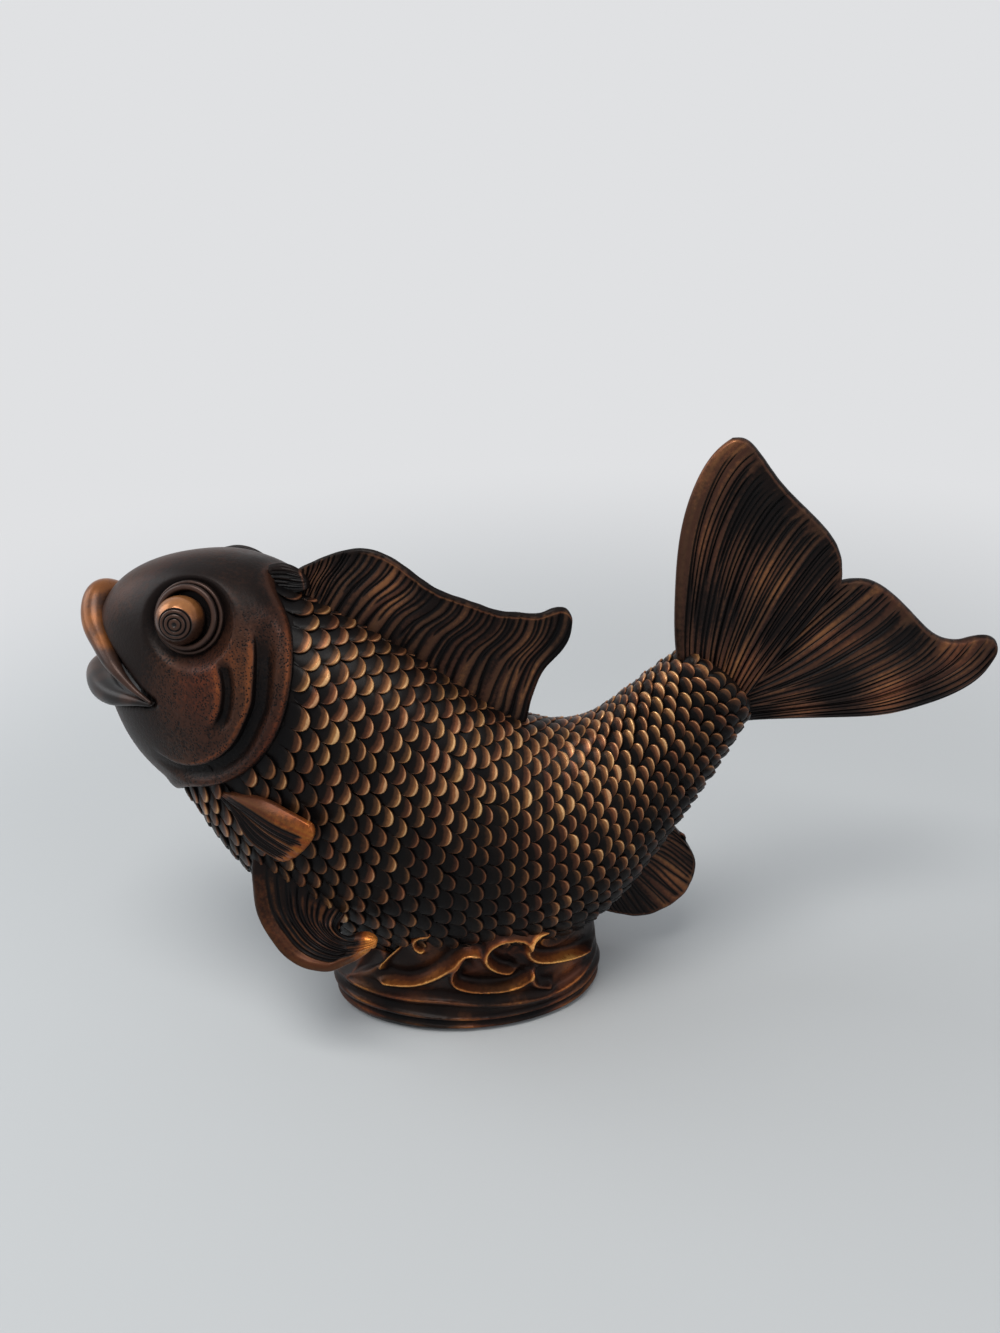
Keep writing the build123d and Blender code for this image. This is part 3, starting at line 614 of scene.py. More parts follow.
def groove_field(S, Tt, count, seed, width_mm, span, stop, split):
    """Depth of many fine grooves that run from root to rim, and a random shade of the ray between them."""
    r = np.random.default_rng(seed)
    depth = np.zeros(S.shape)
    places = (np.arange(count) + 0.5 + r.uniform(-0.22, 0.22, count)) / count
    for k, place in enumerate(places):
        begin = r.uniform(0.0, 0.05) if k % 2 == 0 else r.uniform(0.15, 0.55) * split * 2
        end = r.uniform(*stop)
        bend = 0.25 / count * np.sin(Tt * r.uniform(2, 5) + r.uniform(0, 6.28))
        w = width_mm * r.uniform(0.7, 1.35) / span
        off = (S - place - bend) / w
        line = 0.62 * np.exp(-off ** 2) + 0.38 * bell(off, 0, 2.4)
        window = smooth(begin - 0.04, begin + 0.08, Tt) * (1 - smooth(end - 0.05, end + 0.01, Tt))
        depth = np.maximum(depth, line * window * r.uniform(0.6, 1.0))
    shade_knots = np.linspace(0, 1, count * 2)
    shades = r.uniform(0, 1, count * 2)
    return depth, np.interp(S.ravel(), shade_knots, shades).reshape(S.shape)


def thick_sheet(mid, thickness, front_relief, back_relief):
    """Closed mesh round a middle surface of (n, m, 3) points. Relief is taken off each face."""
    n = unit(np.cross(np.gradient(mid, axis=0), np.gradient(mid, axis=1)), 1e-12)
    front = mid + n * (thickness - front_relief)[..., None]
    backs = mid - n * (thickness - back_relief)[..., None]
    nu, nv, _ = mid.shape
    verts = np.concatenate([front.reshape(-1, 3), backs.reshape(-1, 3)])
    faces = [grid_faces(nu, nv), grid_faces(nu, nv, offset=nu * nv, flip=True)]
    index = np.arange(nu * nv).reshape(nu, nv)
    loop = np.concatenate([index[0, :], index[1:, -1], index[-1, -2::-1], index[-2:0:-1, 0]])
    nxt = np.roll(loop, -1)
    faces.append(np.stack([loop, loop + nu * nv, nxt + nu * nv, nxt], 1))
    faces = np.concatenate(faces)
    return verts, outward_faces(verts, faces)


MIN_EDGE = 0.12


def rounding(d, radius):
    """Share of the full thickness at a distance from an edge that is rounded off."""
    u = np.clip(d / radius, 0, 1)
    return np.sqrt(np.clip(1 - (1 - u) ** 2, 0, 1))


def fin(name, nodes, left, right, root, rim, thick, grooves, seed, side=None, root_map=lambda s: s, ns=260,
    nt=120, groove_mm=0.26, groove_depth=0.42, rim_mm=2.0, edge_mm=(2.2, 2.2), bright=0.5, rim_wear=0.8,
    split=0.5, stop=(0.93, 1.0), plain=0.0, plain_wear=0.85, streaks=0.20, tip_wear=0.0, paint=fin_paint):
    """Fin with rays on both faces, rounded edges and a rim band that is partly rubbed wear and partly
    painted highlight, with a painted shade line on the very edge. The edge curves are sheet x, z and maybe
    side.

    plain is the share beside its left edge without rays. bright and the rim's wear and highlight may be
    functions of S.
    """
    s = 0.5 - 0.5 * np.cos(np.linspace(0, math.pi, ns)) * 0.35 - (1 - 0.35) * (0.5 - np.linspace(0, 1, ns))
    t = np.concatenate([np.linspace(0, 0.9, nt - 24, endpoint=False), np.linspace(0.9, 1.0, 24)])
    flat = coons(left, right, root, rim, s, t, root_map)
    S, Tt = np.meshgrid(s, t, indexing="ij")
    across = side(S, Tt) if side is not None else np.zeros(S.shape)
    if flat.shape[-1] == 3:
        across = across + flat[..., 2]
    mid = on_sheet(flat[..., 0], flat[..., 1], across)
    span = np.maximum(np.linalg.norm(np.diff(mid, axis=0), axis=-1).sum(0), 1.0)[None, :]
    reach = np.maximum(np.linalg.norm(np.diff(mid, axis=1), axis=-1).sum(1), 1.0)[:, None]
    d_rim, d_left, d_right = (1 - Tt) * reach, S * span, (1 - S) * span
    rounded = rounding(d_rim, rim_mm) * rounding(d_left, edge_mm[0]) * rounding(d_right, edge_mm[1])
    half = thick(S, Tt) * np.maximum(rounded, MIN_EDGE)
    depth, shade = groove_field(S, Tt, grooves, seed, groove_mm, span, stop, split)
    depth_b, shade_b = groove_field(S, Tt, grooves, seed + 50, groove_mm, span, stop, split)
    rayed = smooth(plain, plain + 0.05, S) if plain else np.ones(S.shape)
    depth, depth_b = depth * rayed, depth_b * rayed
    guard = smooth(0.6, 2.0, d_left) * smooth(0.6, 2.0, d_right)
    swell = 0.10 * np.sin(S * grooves * 2.1 + seed) * guard * rayed
    cut, cut_b = (groove_depth * d * guard + swell for d in (depth, depth_b))
    mesh = thick_sheet(mid, half, cut, cut_b)
    edge_wear = rim_wear(S) if callable(rim_wear) else rim_wear
    # the band just inside the rim and the band along the left edge are partly rubbed wear and partly a
    # painted highlight line
    rimmed = bell(d_rim, 1.6, 0.7) * edge_wear
    rimmed = rimmed + 0.55 * bell(d_left, 1.2, 1.4) * edge_wear
    # painted shade: a dark line on the very rim edge, left out on fins whose tip is rubbed
    outline = 0.5 * bell(d_rim, 0, 0.8) * (1 - smooth(0.0, 0.3, tip_wear * Tt))
    mottle = 0.12 * noise_field(mid, 34.0, seed + 9)

    def wear_of(depth_here, shade_here):
        level = (bright(S) if callable(bright) else bright) + streaks * (shade_here - 0.5) + mottle
        level = level + (plain_wear * (0.60 + 0.50 * Tt) - level) * (1 - rayed)
        level = np.maximum(level, tip_wear * smooth(0.72, 0.95, Tt))
        level = level * (0.40 + 0.60 * smooth(0.0, 0.16, Tt)) - 0.85 * depth_here
        return np.clip(np.maximum(level, rimmed) * (1 - outline), 0, 1)

    wear = np.concatenate([wear_of(depth, shade).ravel(), wear_of(depth_b, shade_b).ravel()])
    tint = np.concatenate([shade.ravel(), shade_b.ravel()])
    add_piece(name, mesh, (paint, "fin_bronze", *nodes), wear=wear, tint=tint)


# tail: points as shares from its root
TAIL = np.array([0.404 * BODY_L, 0.648 * BODY_H])
TAIL_SIZE = np.array([122.0, 104.0])


def tail_points(rows):
    return TAIL + np.array(rows) * TAIL_SIZE


upper_left = tail_points([(-0.106, 0.03), (-0.126, 0.18), (-0.13, 0.38), (-0.12, 0.56), (-0.078, 0.74),
    (-0.012, 0.848), (0.02, 0.872)])
upper_rim = tail_points([(0.02, 0.872), (0.05, 0.868), (0.084, 0.835), (0.15, 0.731), (0.274, 0.577),
    (0.348, 0.445), (0.356, 0.345)])
upper_right = tail_points([(0.045, -0.1), (0.16, 0.075), (0.27, 0.225), (0.356, 0.345)])
upper_root = tail_points([(-0.106, 0.03), (-0.04, 0.02), (0.01, -0.03), (0.045, -0.1)])
lower_left = tail_points([(-0.005, -0.01), (0.1, 0.075), (0.24, 0.25), (0.34, 0.345)])
lower_rim = tail_points([(0.34, 0.345), (0.437, 0.345), (0.53, 0.278), (0.622, 0.168), (0.7, 0.09),
    (0.775, 0.07), (0.84, 0.076), (0.88, 0.05), (0.89, 0)])
lower_right = tail_points([(0.05, -0.135), (0.131, -0.142), (0.27, -0.16), (0.418, -0.182), (0.557, -0.194),
    (0.67, -0.178), (0.775, -0.144), (0.855, -0.08), (0.89, 0)])
lower_root = tail_points([(-0.005, -0.01), (0.02, -0.05), (0.04, -0.095), (0.05, -0.135)])


def tail_thick(S, Tt):
    return 2.9 * (1 - Tt) ** 1.2 + 1.55 * Tt + 0.5 * bell(Tt, 1, 0.05)


fin("tail_upper_lobe", ["tail_fin"], upper_left, upper_right, upper_root, upper_rim, tail_thick, 36, 21,
    side=lambda S, Tt: -1.0 + 0.9 * (1 - S) ** 2 * Tt, ns=520, nt=150, groove_mm=0.27, groove_depth=0.95,
    rim_mm=2.2, edge_mm=(2.8, 1.6), bright=0.50, rim_wear=0.55, plain=0.035, plain_wear=0.62)
fin("tail_lower_lobe", ["tail_fin"], lower_left, lower_right, lower_root, lower_rim, tail_thick, 33, 31,
    side=lambda S, Tt: 1.1 - 2.2 * Tt ** 4 * S ** 3, ns=480, nt=170, groove_mm=0.27, groove_depth=0.95,
    rim_mm=2.2, edge_mm=(1.6, 2.8), bright=0.54, rim_wear=0.60)

# dorsal: from the body's back at two stations, with its rim and both ends measured
D0, D1 = (spline(np.arange(LAST + 1), STATIONS, np.array(station))[:2] for station in (4.9, 8.5))
D_ALONG = D1 - D0
D_UP = np.array([-D_ALONG[1], D_ALONG[0]]) / np.linalg.norm(D_ALONG)


def dorsal_points(rows):
    rows = np.array(rows)
    return D0 + rows[:, :1] * D_ALONG + rows[:, 1:] * 40.0 * D_UP


dorsal_left = np.concatenate([dorsal_points([(0.030, -0.150)]), [(-48.6, 166.0), (-49.0, 170.0)]])
dorsal_rim = [(-49, 170), (-46.4, 173.4), (-41, 176.2), (-35.2, 178.4), (-28.3, 180.2), (-22.7, 180.7),
    (-16.9, 179.4), (-10.6, 176), (-4.4, 171.1), (1.8, 166.8), (8.3, 163.9), (14.8, 160.9), (21.4, 157.8),
    (28, 156.2), (34.8, 154.8), (39.9, 155.8), (43.6, 155.1), (45.9, 150.8)]
dorsal_right = np.concatenate([dorsal_points([(0.98, -0.15)]),
    [(28.6, 114.7), (29.9, 119.8), (31.9, 125.5), (35.7, 132.9), (41.1, 138.2), (44.7, 143.5),
    (45.9, 150.8)]])
dorsal_root = dorsal_points([(0.03, -0.15), (0.3, -0.11), (0.65, -0.11), (0.98, -0.15)])
fin("dorsal_ribbon", ["dorsal_fin"], dorsal_left, dorsal_right, dorsal_root, dorsal_rim,
    lambda S, Tt: 2.5 * (1 - Tt) ** 1.3 + 1.05 + 0.35 * bell(Tt, 1, 0.08), 50, 41,
    side=lambda S, Tt: 3.4 * Tt * np.sin(2 * math.pi * (S * 1.15 + 0.02)) - 1.2 * Tt ** 2,
    root_map=lambda s: s ** 3 * (1 - s) + s ** 2.05, ns=460, nt=110, groove_mm=0.25, groove_depth=0.80,
    rim_mm=1.7, edge_mm=(1.2, 2.4), streaks=0.26, bright=lambda S: 0.30 + 0.14 * smooth(0.15, 0.50, S),
    rim_wear=lambda S: 0.15 + 0.55 * smooth(0.22, 0.34, S))

# nape tuft in front of the dorsal fin
fin("nape_tuft", [], [(-54.5, 176.2), (-50.5, 176.8), (-46.5, 175.8), (-43, 173.2)],
    [(-53.5, 168.5), (-49.5, 167.5), (-45, 167), (-41, 168.5)],
    [(-54.5, 176.2), (-54.2, 172.5), (-53.5, 168.5)], [(-43, 173.2), (-41.6, 171), (-41, 168.5)],
    lambda S, Tt: 1.2 + 3.0 * S, 12, 81, ns=110, nt=60, groove_mm=0.30, groove_depth=0.60, rim_mm=1.6,
    edge_mm=(2.4, 1.0), bright=0.36, rim_wear=0.40)

# anal
belly_x, belly_z = spline(np.arange(LAST + 1), STATIONS, np.array(9.75))[2:4]


def anal_points(rows):
    return np.array([belly_x, belly_z]) + np.array(rows) * 44.0


fin("anal_fan", ["anal_fin"],
    anal_points([(0.18, 0.4), (0.29, 0.4), (0.38, 0.31), (0.44, 0.2)]),
    anal_points([(-0.42, -0.18), (-0.41, -0.29), (-0.38, -0.38), (-0.34, -0.445)]),
    anal_points([(0.18, 0.4), (-0.1, 0.06), (-0.42, -0.18)]),
    anal_points([(0.44, 0.2), (0.51, 0.08), (0.568, -0.114), (0.545, -0.26), (0.47, -0.42), (0.295, -0.55),
                 (0.1, -0.6), (-0.136, -0.535), (-0.34, -0.445)]),
    lambda S, Tt: 1.9 * (1 - Tt) + 1.35 * Tt + 0.25 * bell(Tt, 1, 0.08), 26, 51,
    side=lambda S, Tt: 0.8 * np.sin(3.0 * S) * Tt, ns=240, nt=90, groove_depth=0.65, rim_mm=1.8,
    edge_mm=(1.8, 1.8), bright=0.46, rim_wear=0.50, split=0.35)


# pectorals: a leaf folded along its upper edge
def mirrored(points, side):
    points = np.array(points, float)
    points[:, 2] *= -side
    return points


PECT_UPPER = [(-68.5, 107, -31.5), (-63.4, 107.6, -32.5), (-58.1, 107.8, -33.5), (-51.8, 107, -35.5),
    (-47, 104.8, -37), (-42.5, 103, -39), (-39, 101.6, -41)]
PECT_LOWER = [(-68.5, 105, -33.5), (-64.7, 100.7, -35.6), (-62.5, 94.8, -36.6), (-59.8, 90.3, -37.2),
    (-56.9, 88.2, -37.8), (-53, 85.8, -38.2), (-50.1, 84.6, -38.6)]
PECT_RIM = [(-39, 101.6, -41), (-38.3, 99.1, -41.8), (-39.7, 95.6, -42.2), (-43.2, 91, -41.6),
    (-46.4, 87.4, -40.2), (-50.1, 84.6, -38.6)]
PECT_ROOT = [(-68.5, 107, -31.5), (-68.8, 106, -33), (-68.5, 105, -33.5)]


def pectoral(name, node, side):
    def bulge_out(S, Tt):
        ridge = bell(S, 0.26, 0.20) * np.sin(np.clip(Tt * 1.05, 0, 1) * math.pi) ** 0.7
        return side * (3.4 * ridge + 1.2 * np.sin(math.pi * S) * Tt)

    fin(name, [node], mirrored(PECT_UPPER, side), mirrored(PECT_LOWER, side), mirrored(PECT_ROOT, side),
        mirrored(PECT_RIM, side), lambda S, Tt: 1.0 + 0.55 * bell(S, 0.12, 0.18), 18, 61, side=bulge_out,
        ns=220, nt=100, groove_depth=0.55, rim_mm=1.5, edge_mm=(1.6, 1.4), bright=0.48, rim_wear=0.74,
        split=0.3, stop=(0.86, 0.97), plain=0.22, plain_wear=0.66, tip_wear=0.80, paint=leaf_paint)


pectoral("left_pectoral_leaf", "left_pectoral_fin", -1)
pectoral("right_pectoral_leaf", "right_pectoral_fin", 1)

# pelvics: a cup that rolls up to its tip
PELV_OUTER = [(-63.5, 82, -28), (-64.1, 75.7, -31.8), (-63.9, 68.7, -34), (-63, 60.6, -36.5),
    (-60.4, 55.3, -39), (-57.6, 51.7, -41), (-54.2, 47.7, -42.8), (-50.9, 45.2, -43.8), (-47.5, 43.8, -44.6),
    (-44.1, 43.2, -45), (-40, 43.2, -45.2), (-35.6, 45.4, -45), (-31.3, 48, -44.7), (-27.7, 51.4, -44.4),
    (-24.6, 54.6, -44)]
PELV_INNER = [(-34, 58, -29), (-36.5, 56.5, -33), (-37, 55, -37.5), (-34, 55.6, -41), (-30.5, 57.4, -43),
    (-27, 58.2, -43.6), (-25, 57.6, -43.9)]
PELV_ROOT = [(-63.5, 82, -28), (-52, 74, -30.5), (-43.5, 66, -31), (-34, 58, -29)]
PELV_TIP = [(-24.6, 54.6, -44), (-23.8, 55.8, -44.2), (-24, 57, -44.1), (-25, 57.6, -43.9)]


def pelvic(name, node, side):
    def cup(S, Tt):
        return -side * 5.0 * np.sin(math.pi * S ** 0.8) * np.sin(math.pi * np.clip(Tt, 0, 1)) ** 1.2

    fin(name, [node], mirrored(PELV_OUTER, side), mirrored(PELV_INNER, side), mirrored(PELV_ROOT, side),
        mirrored(PELV_TIP, side), lambda S, Tt: 1.15 + 0.5 * bell(S, 0, 0.15) + 1.1 * smooth(0.55, 0.92, Tt),
        18, 71, side=cup, ns=300, nt=150, groove_mm=0.32, groove_depth=0.70, rim_mm=2.6, edge_mm=(2.0, 1.4),
        bright=0.42, rim_wear=0.60, split=0.3, stop=(0.74, 0.88), plain=0.13, plain_wear=0.58, tip_wear=0.92,
        paint=leaf_paint)


pelvic("left_pelvic_cup", "left_pelvic_fin", -1)
pelvic("right_pelvic_cup", "right_pelvic_fin", 1)

# head: edge of the cheek plate and the crescent inside it
CHEEK_EDGE = [(-55.5, 163), (-54.5, 160), (-53.9, 155.3), (-53.9, 150.6), (-54.2, 145.5), (-54.8, 140.6),
    (-57.2, 134.5), (-60.4, 128.4), (-66.9, 121.7), (-76.1, 117.2), (-84.8, 116.4), (-93, 119.9)]
INNER_CRESCENT = [(-65.2, 154.5), (-64.4, 152), (-63.6, 149.1), (-63.3, 145), (-63.8, 140.8), (-64.9, 136.9),
    (-68.8, 131.1)]
cheek_curve = along(CHEEK_EDGE, np.linspace(0, 1, 70))
inner_curve = along(INNER_CRESCENT, np.linspace(0, 1, 40))


def plate_edge(x, z, curve, depth, floor_to, rise_to, fade_in, fade_out, lip):
    """Rounded plate edge with a steep drop behind it: outward relief, and shares of hollow and ridge."""
    d, u = polyline_distance(x, z, curve)
    amp = smooth(0, fade_in, u) * (1 - smooth(1 - fade_out, 1, u)) * ((u > 0.001) & (u < 0.999))
    front = lip * np.exp(-(np.clip(-d, 0, None) / 2.4) ** 2) - 0.5 * smooth(-1.2, 0.0, d)
    drop = smooth(0.0, 0.8, d)
    back = smooth(floor_to, rise_to, d)
    rear = (lip - 0.5) * (1 - drop) - depth * drop * (1 - back)
    hollow = smooth(-0.3, 0.5, d) * (1 - smooth(floor_to * 0.7, rise_to * 0.85, d))
    ridge = bell(d, -0.9, 0.8)
    return np.where(d <= 0, front, rear) * amp, hollow * amp, ridge * amp


# eyes: place of each ring's middle on the sheet, and the ball and its look in the ring's frame
EYE_PLACES = {-1: (-75.3, 165.7, 21.3), 1: (-73.0, 167.2, 22.0)}
BALL_PLACE = (-1.9, -0.8, -0.5)
BALL_LOOK = (0.20, -0.25, 1.0)
RING_R, BALL_R = 9.8, 8.1


def eye_frame(side):
    """Middle of an eye ring, two directions in its plane and the one out of it."""
    x, z, reach = EYE_PLACES[side]
    origin = on_sheet(x, z, side * reach)
    across = sheet_n(origin[0])
    out = across * side + np.array([0.03, 0, 0.45])
    out /= np.linalg.norm(out)
    x_dir = np.array([1.0, 0, 0]) + across * 0.01
    x_dir -= out * x_dir.dot(out)
    x_dir /= np.linalg.norm(x_dir)
    return origin, x_dir, -side * np.cross(out, x_dir), out


# lips: x share, side share, z share and thickness from the corner to the middle
UPPER_LIP = [(-0.366, 0.403, 0.757, 0.1), (-0.395, 0.367, 0.7775, 0.22), (-0.414, 0.34, 0.797, 0.36),
    (-0.435, 0.288, 0.814, 0.54), (-0.46, 0.2055, 0.836, 0.74), (-0.4825, 0.123, 0.863, 0.92),
    (-0.493, 0, 0.896, 0.96)]
LOWER_LIP = [(-0.366, 0.403, 0.753, 0.1), (-0.398, 0.363, 0.7505, 0.34), (-0.436, 0.301, 0.742, 0.62),
    (-0.474, 0.2055, 0.7363, 0.86), (-0.504, 0.096, 0.7357, 0.95), (-0.518, 0.000, 0.7357, 0.97)]
LIP_R = 5.4


def lip_line(rows, x):
    """Height of the lip's middle line at sheet x."""
    rows = np.array(rows)[::-1]
    return np.interp(x, rows[:, 0] * BODY_L, rows[:, 2] * BODY_H)


def mouth_gap(x, z):
    """Share of the skin that is sunk between the lips."""
    between = np.minimum(lip_line(UPPER_LIP, x) - z, z - lip_line(LOWER_LIP, x))
    return smooth(-1.0, 2.2, between) * smooth(-93.0, -100.0, x)


def head_relief(p, phi):
    """Outward relief of the head's skin, with shares of hollow and ridge for the paint."""
    x, z, _ = sheet_coords(p)
    flank = smooth(0.15, 0.55, np.abs(np.sin(phi)))
    cheek, cheek_hollow, cheek_ridge = plate_edge(x, z, cheek_curve, 2.7, 3.4, 7.2, 0.14, 0.28, 0.8)
    inner, inner_hollow, inner_ridge = plate_edge(x, z, inner_curve, 2.1, 1.9, 5.0, 0.22, 0.26, 0.5)
    edge = behind_gill(p)
    band = 0.7 * bell(edge, -3.0, 2.6)
    out_by = (cheek + inner) * flank + band + 1.3 * smooth(-40, -6, edge) * flank
    return out_by, (cheek_hollow + inner_hollow) * flank, (cheek_ridge + inner_ridge) * flank, edge


# each column of the head's skin runs from the snout to the gill edge
N_HEAD = 480
phi_head = np.linspace(0, TURN, N_HEAD, endpoint=False)
t_scan = np.linspace(1.0, 7.5, 200)
scan = behind_gill(body_surface(t_scan[:, None], phi_head[None, :]))
first = np.argmax(scan > 0, axis=0)
column = np.arange(N_HEAD)
t_lo, t_hi = t_scan[np.maximum(first - 1, 0)], t_scan[first]
g_lo, g_hi = scan[np.maximum(first - 1, 0), column], scan[first, column]
t_edge = t_lo + (t_hi - t_lo) * (-g_lo) / (g_hi - g_lo + 1e-9)
tau = np.concatenate([np.linspace(0, 0.90, 260, endpoint=False), np.linspace(0.90, 1.0, 60)])
head_t = tau[:, None] * t_edge[None, :]
head_phi = np.broadcast_to(phi_head[None, :], head_t.shape)
p, _, _, n, _, _ = body_frame(head_t, head_phi)
ease = smooth(0.0, 0.10, tau)[:, None]
raise_by, hollow, ridge, gill_gap = head_relief(p, head_phi)
roll = smooth(-1.6, 0.0, gill_gap) ** 2
outer = p + n * ((raise_by - 0.9 * roll) * ease)[..., None]

# the skin dips round each eye and sinks in between the lips
eye_shade = np.zeros(head_t.shape)
for side in (-1, 1):
    origin, _, _, out = eye_frame(side)
    rel = outer - origin
    rise = rel @ out
    reach = np.linalg.norm(rel - rise[..., None] * out, axis=-1)
    near = (rise > -16.0) & (reach < 26.0)
    limit = -3.0 + 0.75 * np.clip(reach - 12.4, 0, None)
    sink = np.where(near, 0.6 * np.logaddexp(0, (rise - limit) / 0.6), 0) * smooth(26.0, 22.0, reach)
    outer = outer - out * sink[..., None]
    eye_shade = np.maximum(eye_shade, np.where(near, np.exp(-np.clip(reach - 11.8, 0, None) / 1.8), 0))
hx, hz, hside = sheet_coords(outer)
gap = mouth_gap(hx, hz)
hollow_x = hx + 13.0 * gap
hollow_side = hside * (1 - 0.10 * gap)
outer = np.where(gap[..., None] > 0, on_sheet(hollow_x, hz, hollow_side), outer)

# a skirt runs in under the trunk's scales, and a wall closes the mouth
_, tang, _, _, _, _ = body_frame(head_t[-1], head_phi[-1])
skirt = [outer[-1] - n[-1] * drop + tang * go for drop, go in ((0.5, 0.15), (1.6, 0.1), (3.2, -1), (8, -4))]
snout = outer[0]
snout_c = snout.mean(0)
mouth = [snout_c + (snout - snout_c) * k + np.array([back_by, 0, 0])
         for k, back_by in ((0.25, 12), (0.55, 10), (0.74, 6), (0.86, 2))]


def lip_tube(rows):
    """Lip swept from corner to corner: rings of points, the middle line and its radius."""
    other_half = [(x, side, z, k) for x, side, z, k in reversed(rows[:-1])]
    rows = np.array([(x, -side, z, k) for x, side, z, k in rows] + other_half)
    centres = on_sheet(rows[:, 0] * BODY_L, rows[:, 2] * BODY_H, rows[:, 1] * BODY_W)
    level = np.cross(centres[len(centres) // 2] - centres[0], centres[-1] - centres[0])
    level /= np.linalg.norm(level)
    u = np.linspace(0, 1, 180)
    path = along(centres, u)
    size = spline(arc_knots(centres), rows[:, 3:4], u)[:, 0] * LIP_R
    tangent = unit(np.gradient(path, axis=0))
    side_dir = unit(np.cross(level, tangent))
    updir = np.cross(tangent, side_dir)
    ang = np.linspace(0, TURN, 72, endpoint=False)
    ring = (path[:, None] + side_dir[:, None] * np.cos(ang)[None, :, None] * size[:, None, None]
            + updir[:, None] * np.sin(ang)[None, :, None] * size[:, None, None])
    return ring, path, size


def tube_distance(p, path, size):
    """Distance from points to the surface of a tube of changing size."""
    best = np.full(p.shape[:-1], 1e9)
    for q, r in zip(path, size):
        best = np.minimum(best, np.linalg.norm(p - q, axis=-1) - r)
    return best


lip_crease = np.zeros(outer.shape[:2])
for name, rows, base_level, top_level in (("upper_lip", UPPER_LIP, 0.62, 0.26),
                                          ("lower_lip", LOWER_LIP, 0.30, 0.10)):
    ring, path, size = lip_tube(rows)
    share = np.linspace(0, 1, ring.shape[0])[:, None]
    front = smooth(0.0, 0.35, np.minimum(share, 1 - share))
    waves = 0.10 * noise_field(ring, 14.0, 19)
    # painted light: each lip is painted lighter on its top and darker on its underside
    level = base_level + waves - top_level * (1 - front) + 0.10 * (ring[..., 2] - path[:, None, 2]) / LIP_R
    add_piece(name, closed_tube(ring), LIP_FINISH, wear=with_ends(np.clip(level, 0, 1)), tint=0.3)
    clearance = tube_distance(outer, path[::4], size[::4])
    lip_crease = np.maximum(lip_crease, np.exp(-(np.clip(clearance, 0, None) / 1.2) ** 2))
    if name == "lower_lip":
        # solid jaw under the lower lip: scale of its line, height as a share of the lip, drop in millimetres
        inside = on_sheet(-96.0, path[:, 2].mean())
        levels = [(0.6, 0.3, 0), (0.9, 0.42, 0), (1, 0.35, 0), (1.03, -0.2, 0), (1.02, -0.55, 0),
            (0.96, -0.8, -0.8), (0.86, -0.8, -3), (0.72, -0.8, -6), (0.55, -0.8, -9), (0.35, -0.8, -11)]
        contours = []
        for scale, thick_share, drop in levels:
            contour = inside + (path - inside) * scale
            contour[:, 2] = path[:, 2] + thick_share * size + drop
            contours.append(contour)
        add_piece("lower_jaw", closed_tube(np.array(contours)), LIP_FINISH, wear=0.24, tint=0.3)

# folds that run back from the corners of the mouth
FOLDS = [[(-104.5, 153), (-101, 147), (-96, 141.5), (-90, 138)],
    [(-97.5, 137.5), (-92.5, 135.6), (-87, 135.2)]]
fold_cut = np.zeros(outer.shape[:2])
for fold in FOLDS:
    d, u = polyline_distance(hx, hz, along(fold, np.linspace(0, 1, 30)))
    fold_cut = np.maximum(fold_cut, bell(d, 0, 0.7) * smooth(0, 0.2, u) * (1 - smooth(0.6, 1, u)))
flank_zone = smooth(8, 14, np.abs(hside))
fold_cut *= flank_zone

cheek_zone = smooth(-94, -78, hx) * smooth(172, 158, hz) * smooth(10, 22, np.abs(hside))
pit_noise = np.clip(noise_field(outer, 1.5, 12) * noise_field(outer, 1.9, 13), 0, 2)
pit_depth = 0.12 * smooth(0.35, 1.1, pit_noise) * (0.15 + 0.85 * cheek_zone)
cut_in = 0.55 * fold_cut + pit_depth + 1.1 * lip_crease * smooth(8, 16, np.abs(hside))
outer = outer - n * cut_in[..., None]

mottle = noise_field(outer, 46.0, 17)
level = 0.38 + 0.07 * mottle + 0.07 * cheek_zone + 0.22 * ridge + 0.20 * bell(gill_gap, -1.1, 0.9)
level = (level - 0.42 * hollow - 0.40 * gap - 0.22 * eye_shade - 0.26 * lip_crease - 0.30 * fold_cut
         - 0.8 * pit_depth)
level = level - 0.25 * smooth(-0.5, 0.0, gill_gap)


def ring_values(values, ends):
    """Values for all of the head's rings: one value for the mouth and the skirt, with both end points."""
    lead = np.full((len(mouth) + 1, N_HEAD), ends)
    tail = np.full((len(skirt) + 1, N_HEAD), ends)
    return np.concatenate([lead, values, tail])


head_mesh = closed_tube(np.concatenate([np.array(mouth), outer, np.array(skirt)]))
head_tint = np.clip(0.40 + 0.20 * noise_field(outer, 30.0, 23), 0, 1)
head_pits = np.clip(0.12 + 0.88 * cheek_zone, 0, 1) * (1 - gap)
add_piece("head_casting", head_mesh, (head_paint, "head_bronze", "head"),
          wear=ring_values(np.clip(level, 0, 1), 0.05), tint=ring_values(head_tint, 0.3),
          pits=ring_values(head_pits, 0.0))


def lathe(place, profile):
    """Closed surface turned about a place's outward axis from points of radius and height."""
    origin, x_dir, y_dir, out = place
    ang = np.linspace(0, TURN, LATHE_STEPS, endpoint=False)
    spokes = x_dir * np.cos(ang)[:, None] + y_dir * np.sin(ang)[:, None]
    profile = np.array(profile)
    return closed_tube(origin + spokes[None] * profile[:, 0, None, None] + out * profile[:, 1, None, None])


def arc_profile(cx, cy, r, a0, a1, n):
    """Points of an arc between two angles in degrees."""
    angles = (math.radians(w) for w in np.linspace(a0, a1, n))
    return [(cx + r * math.cos(w), cy + r * math.sin(w)) for w in angles]


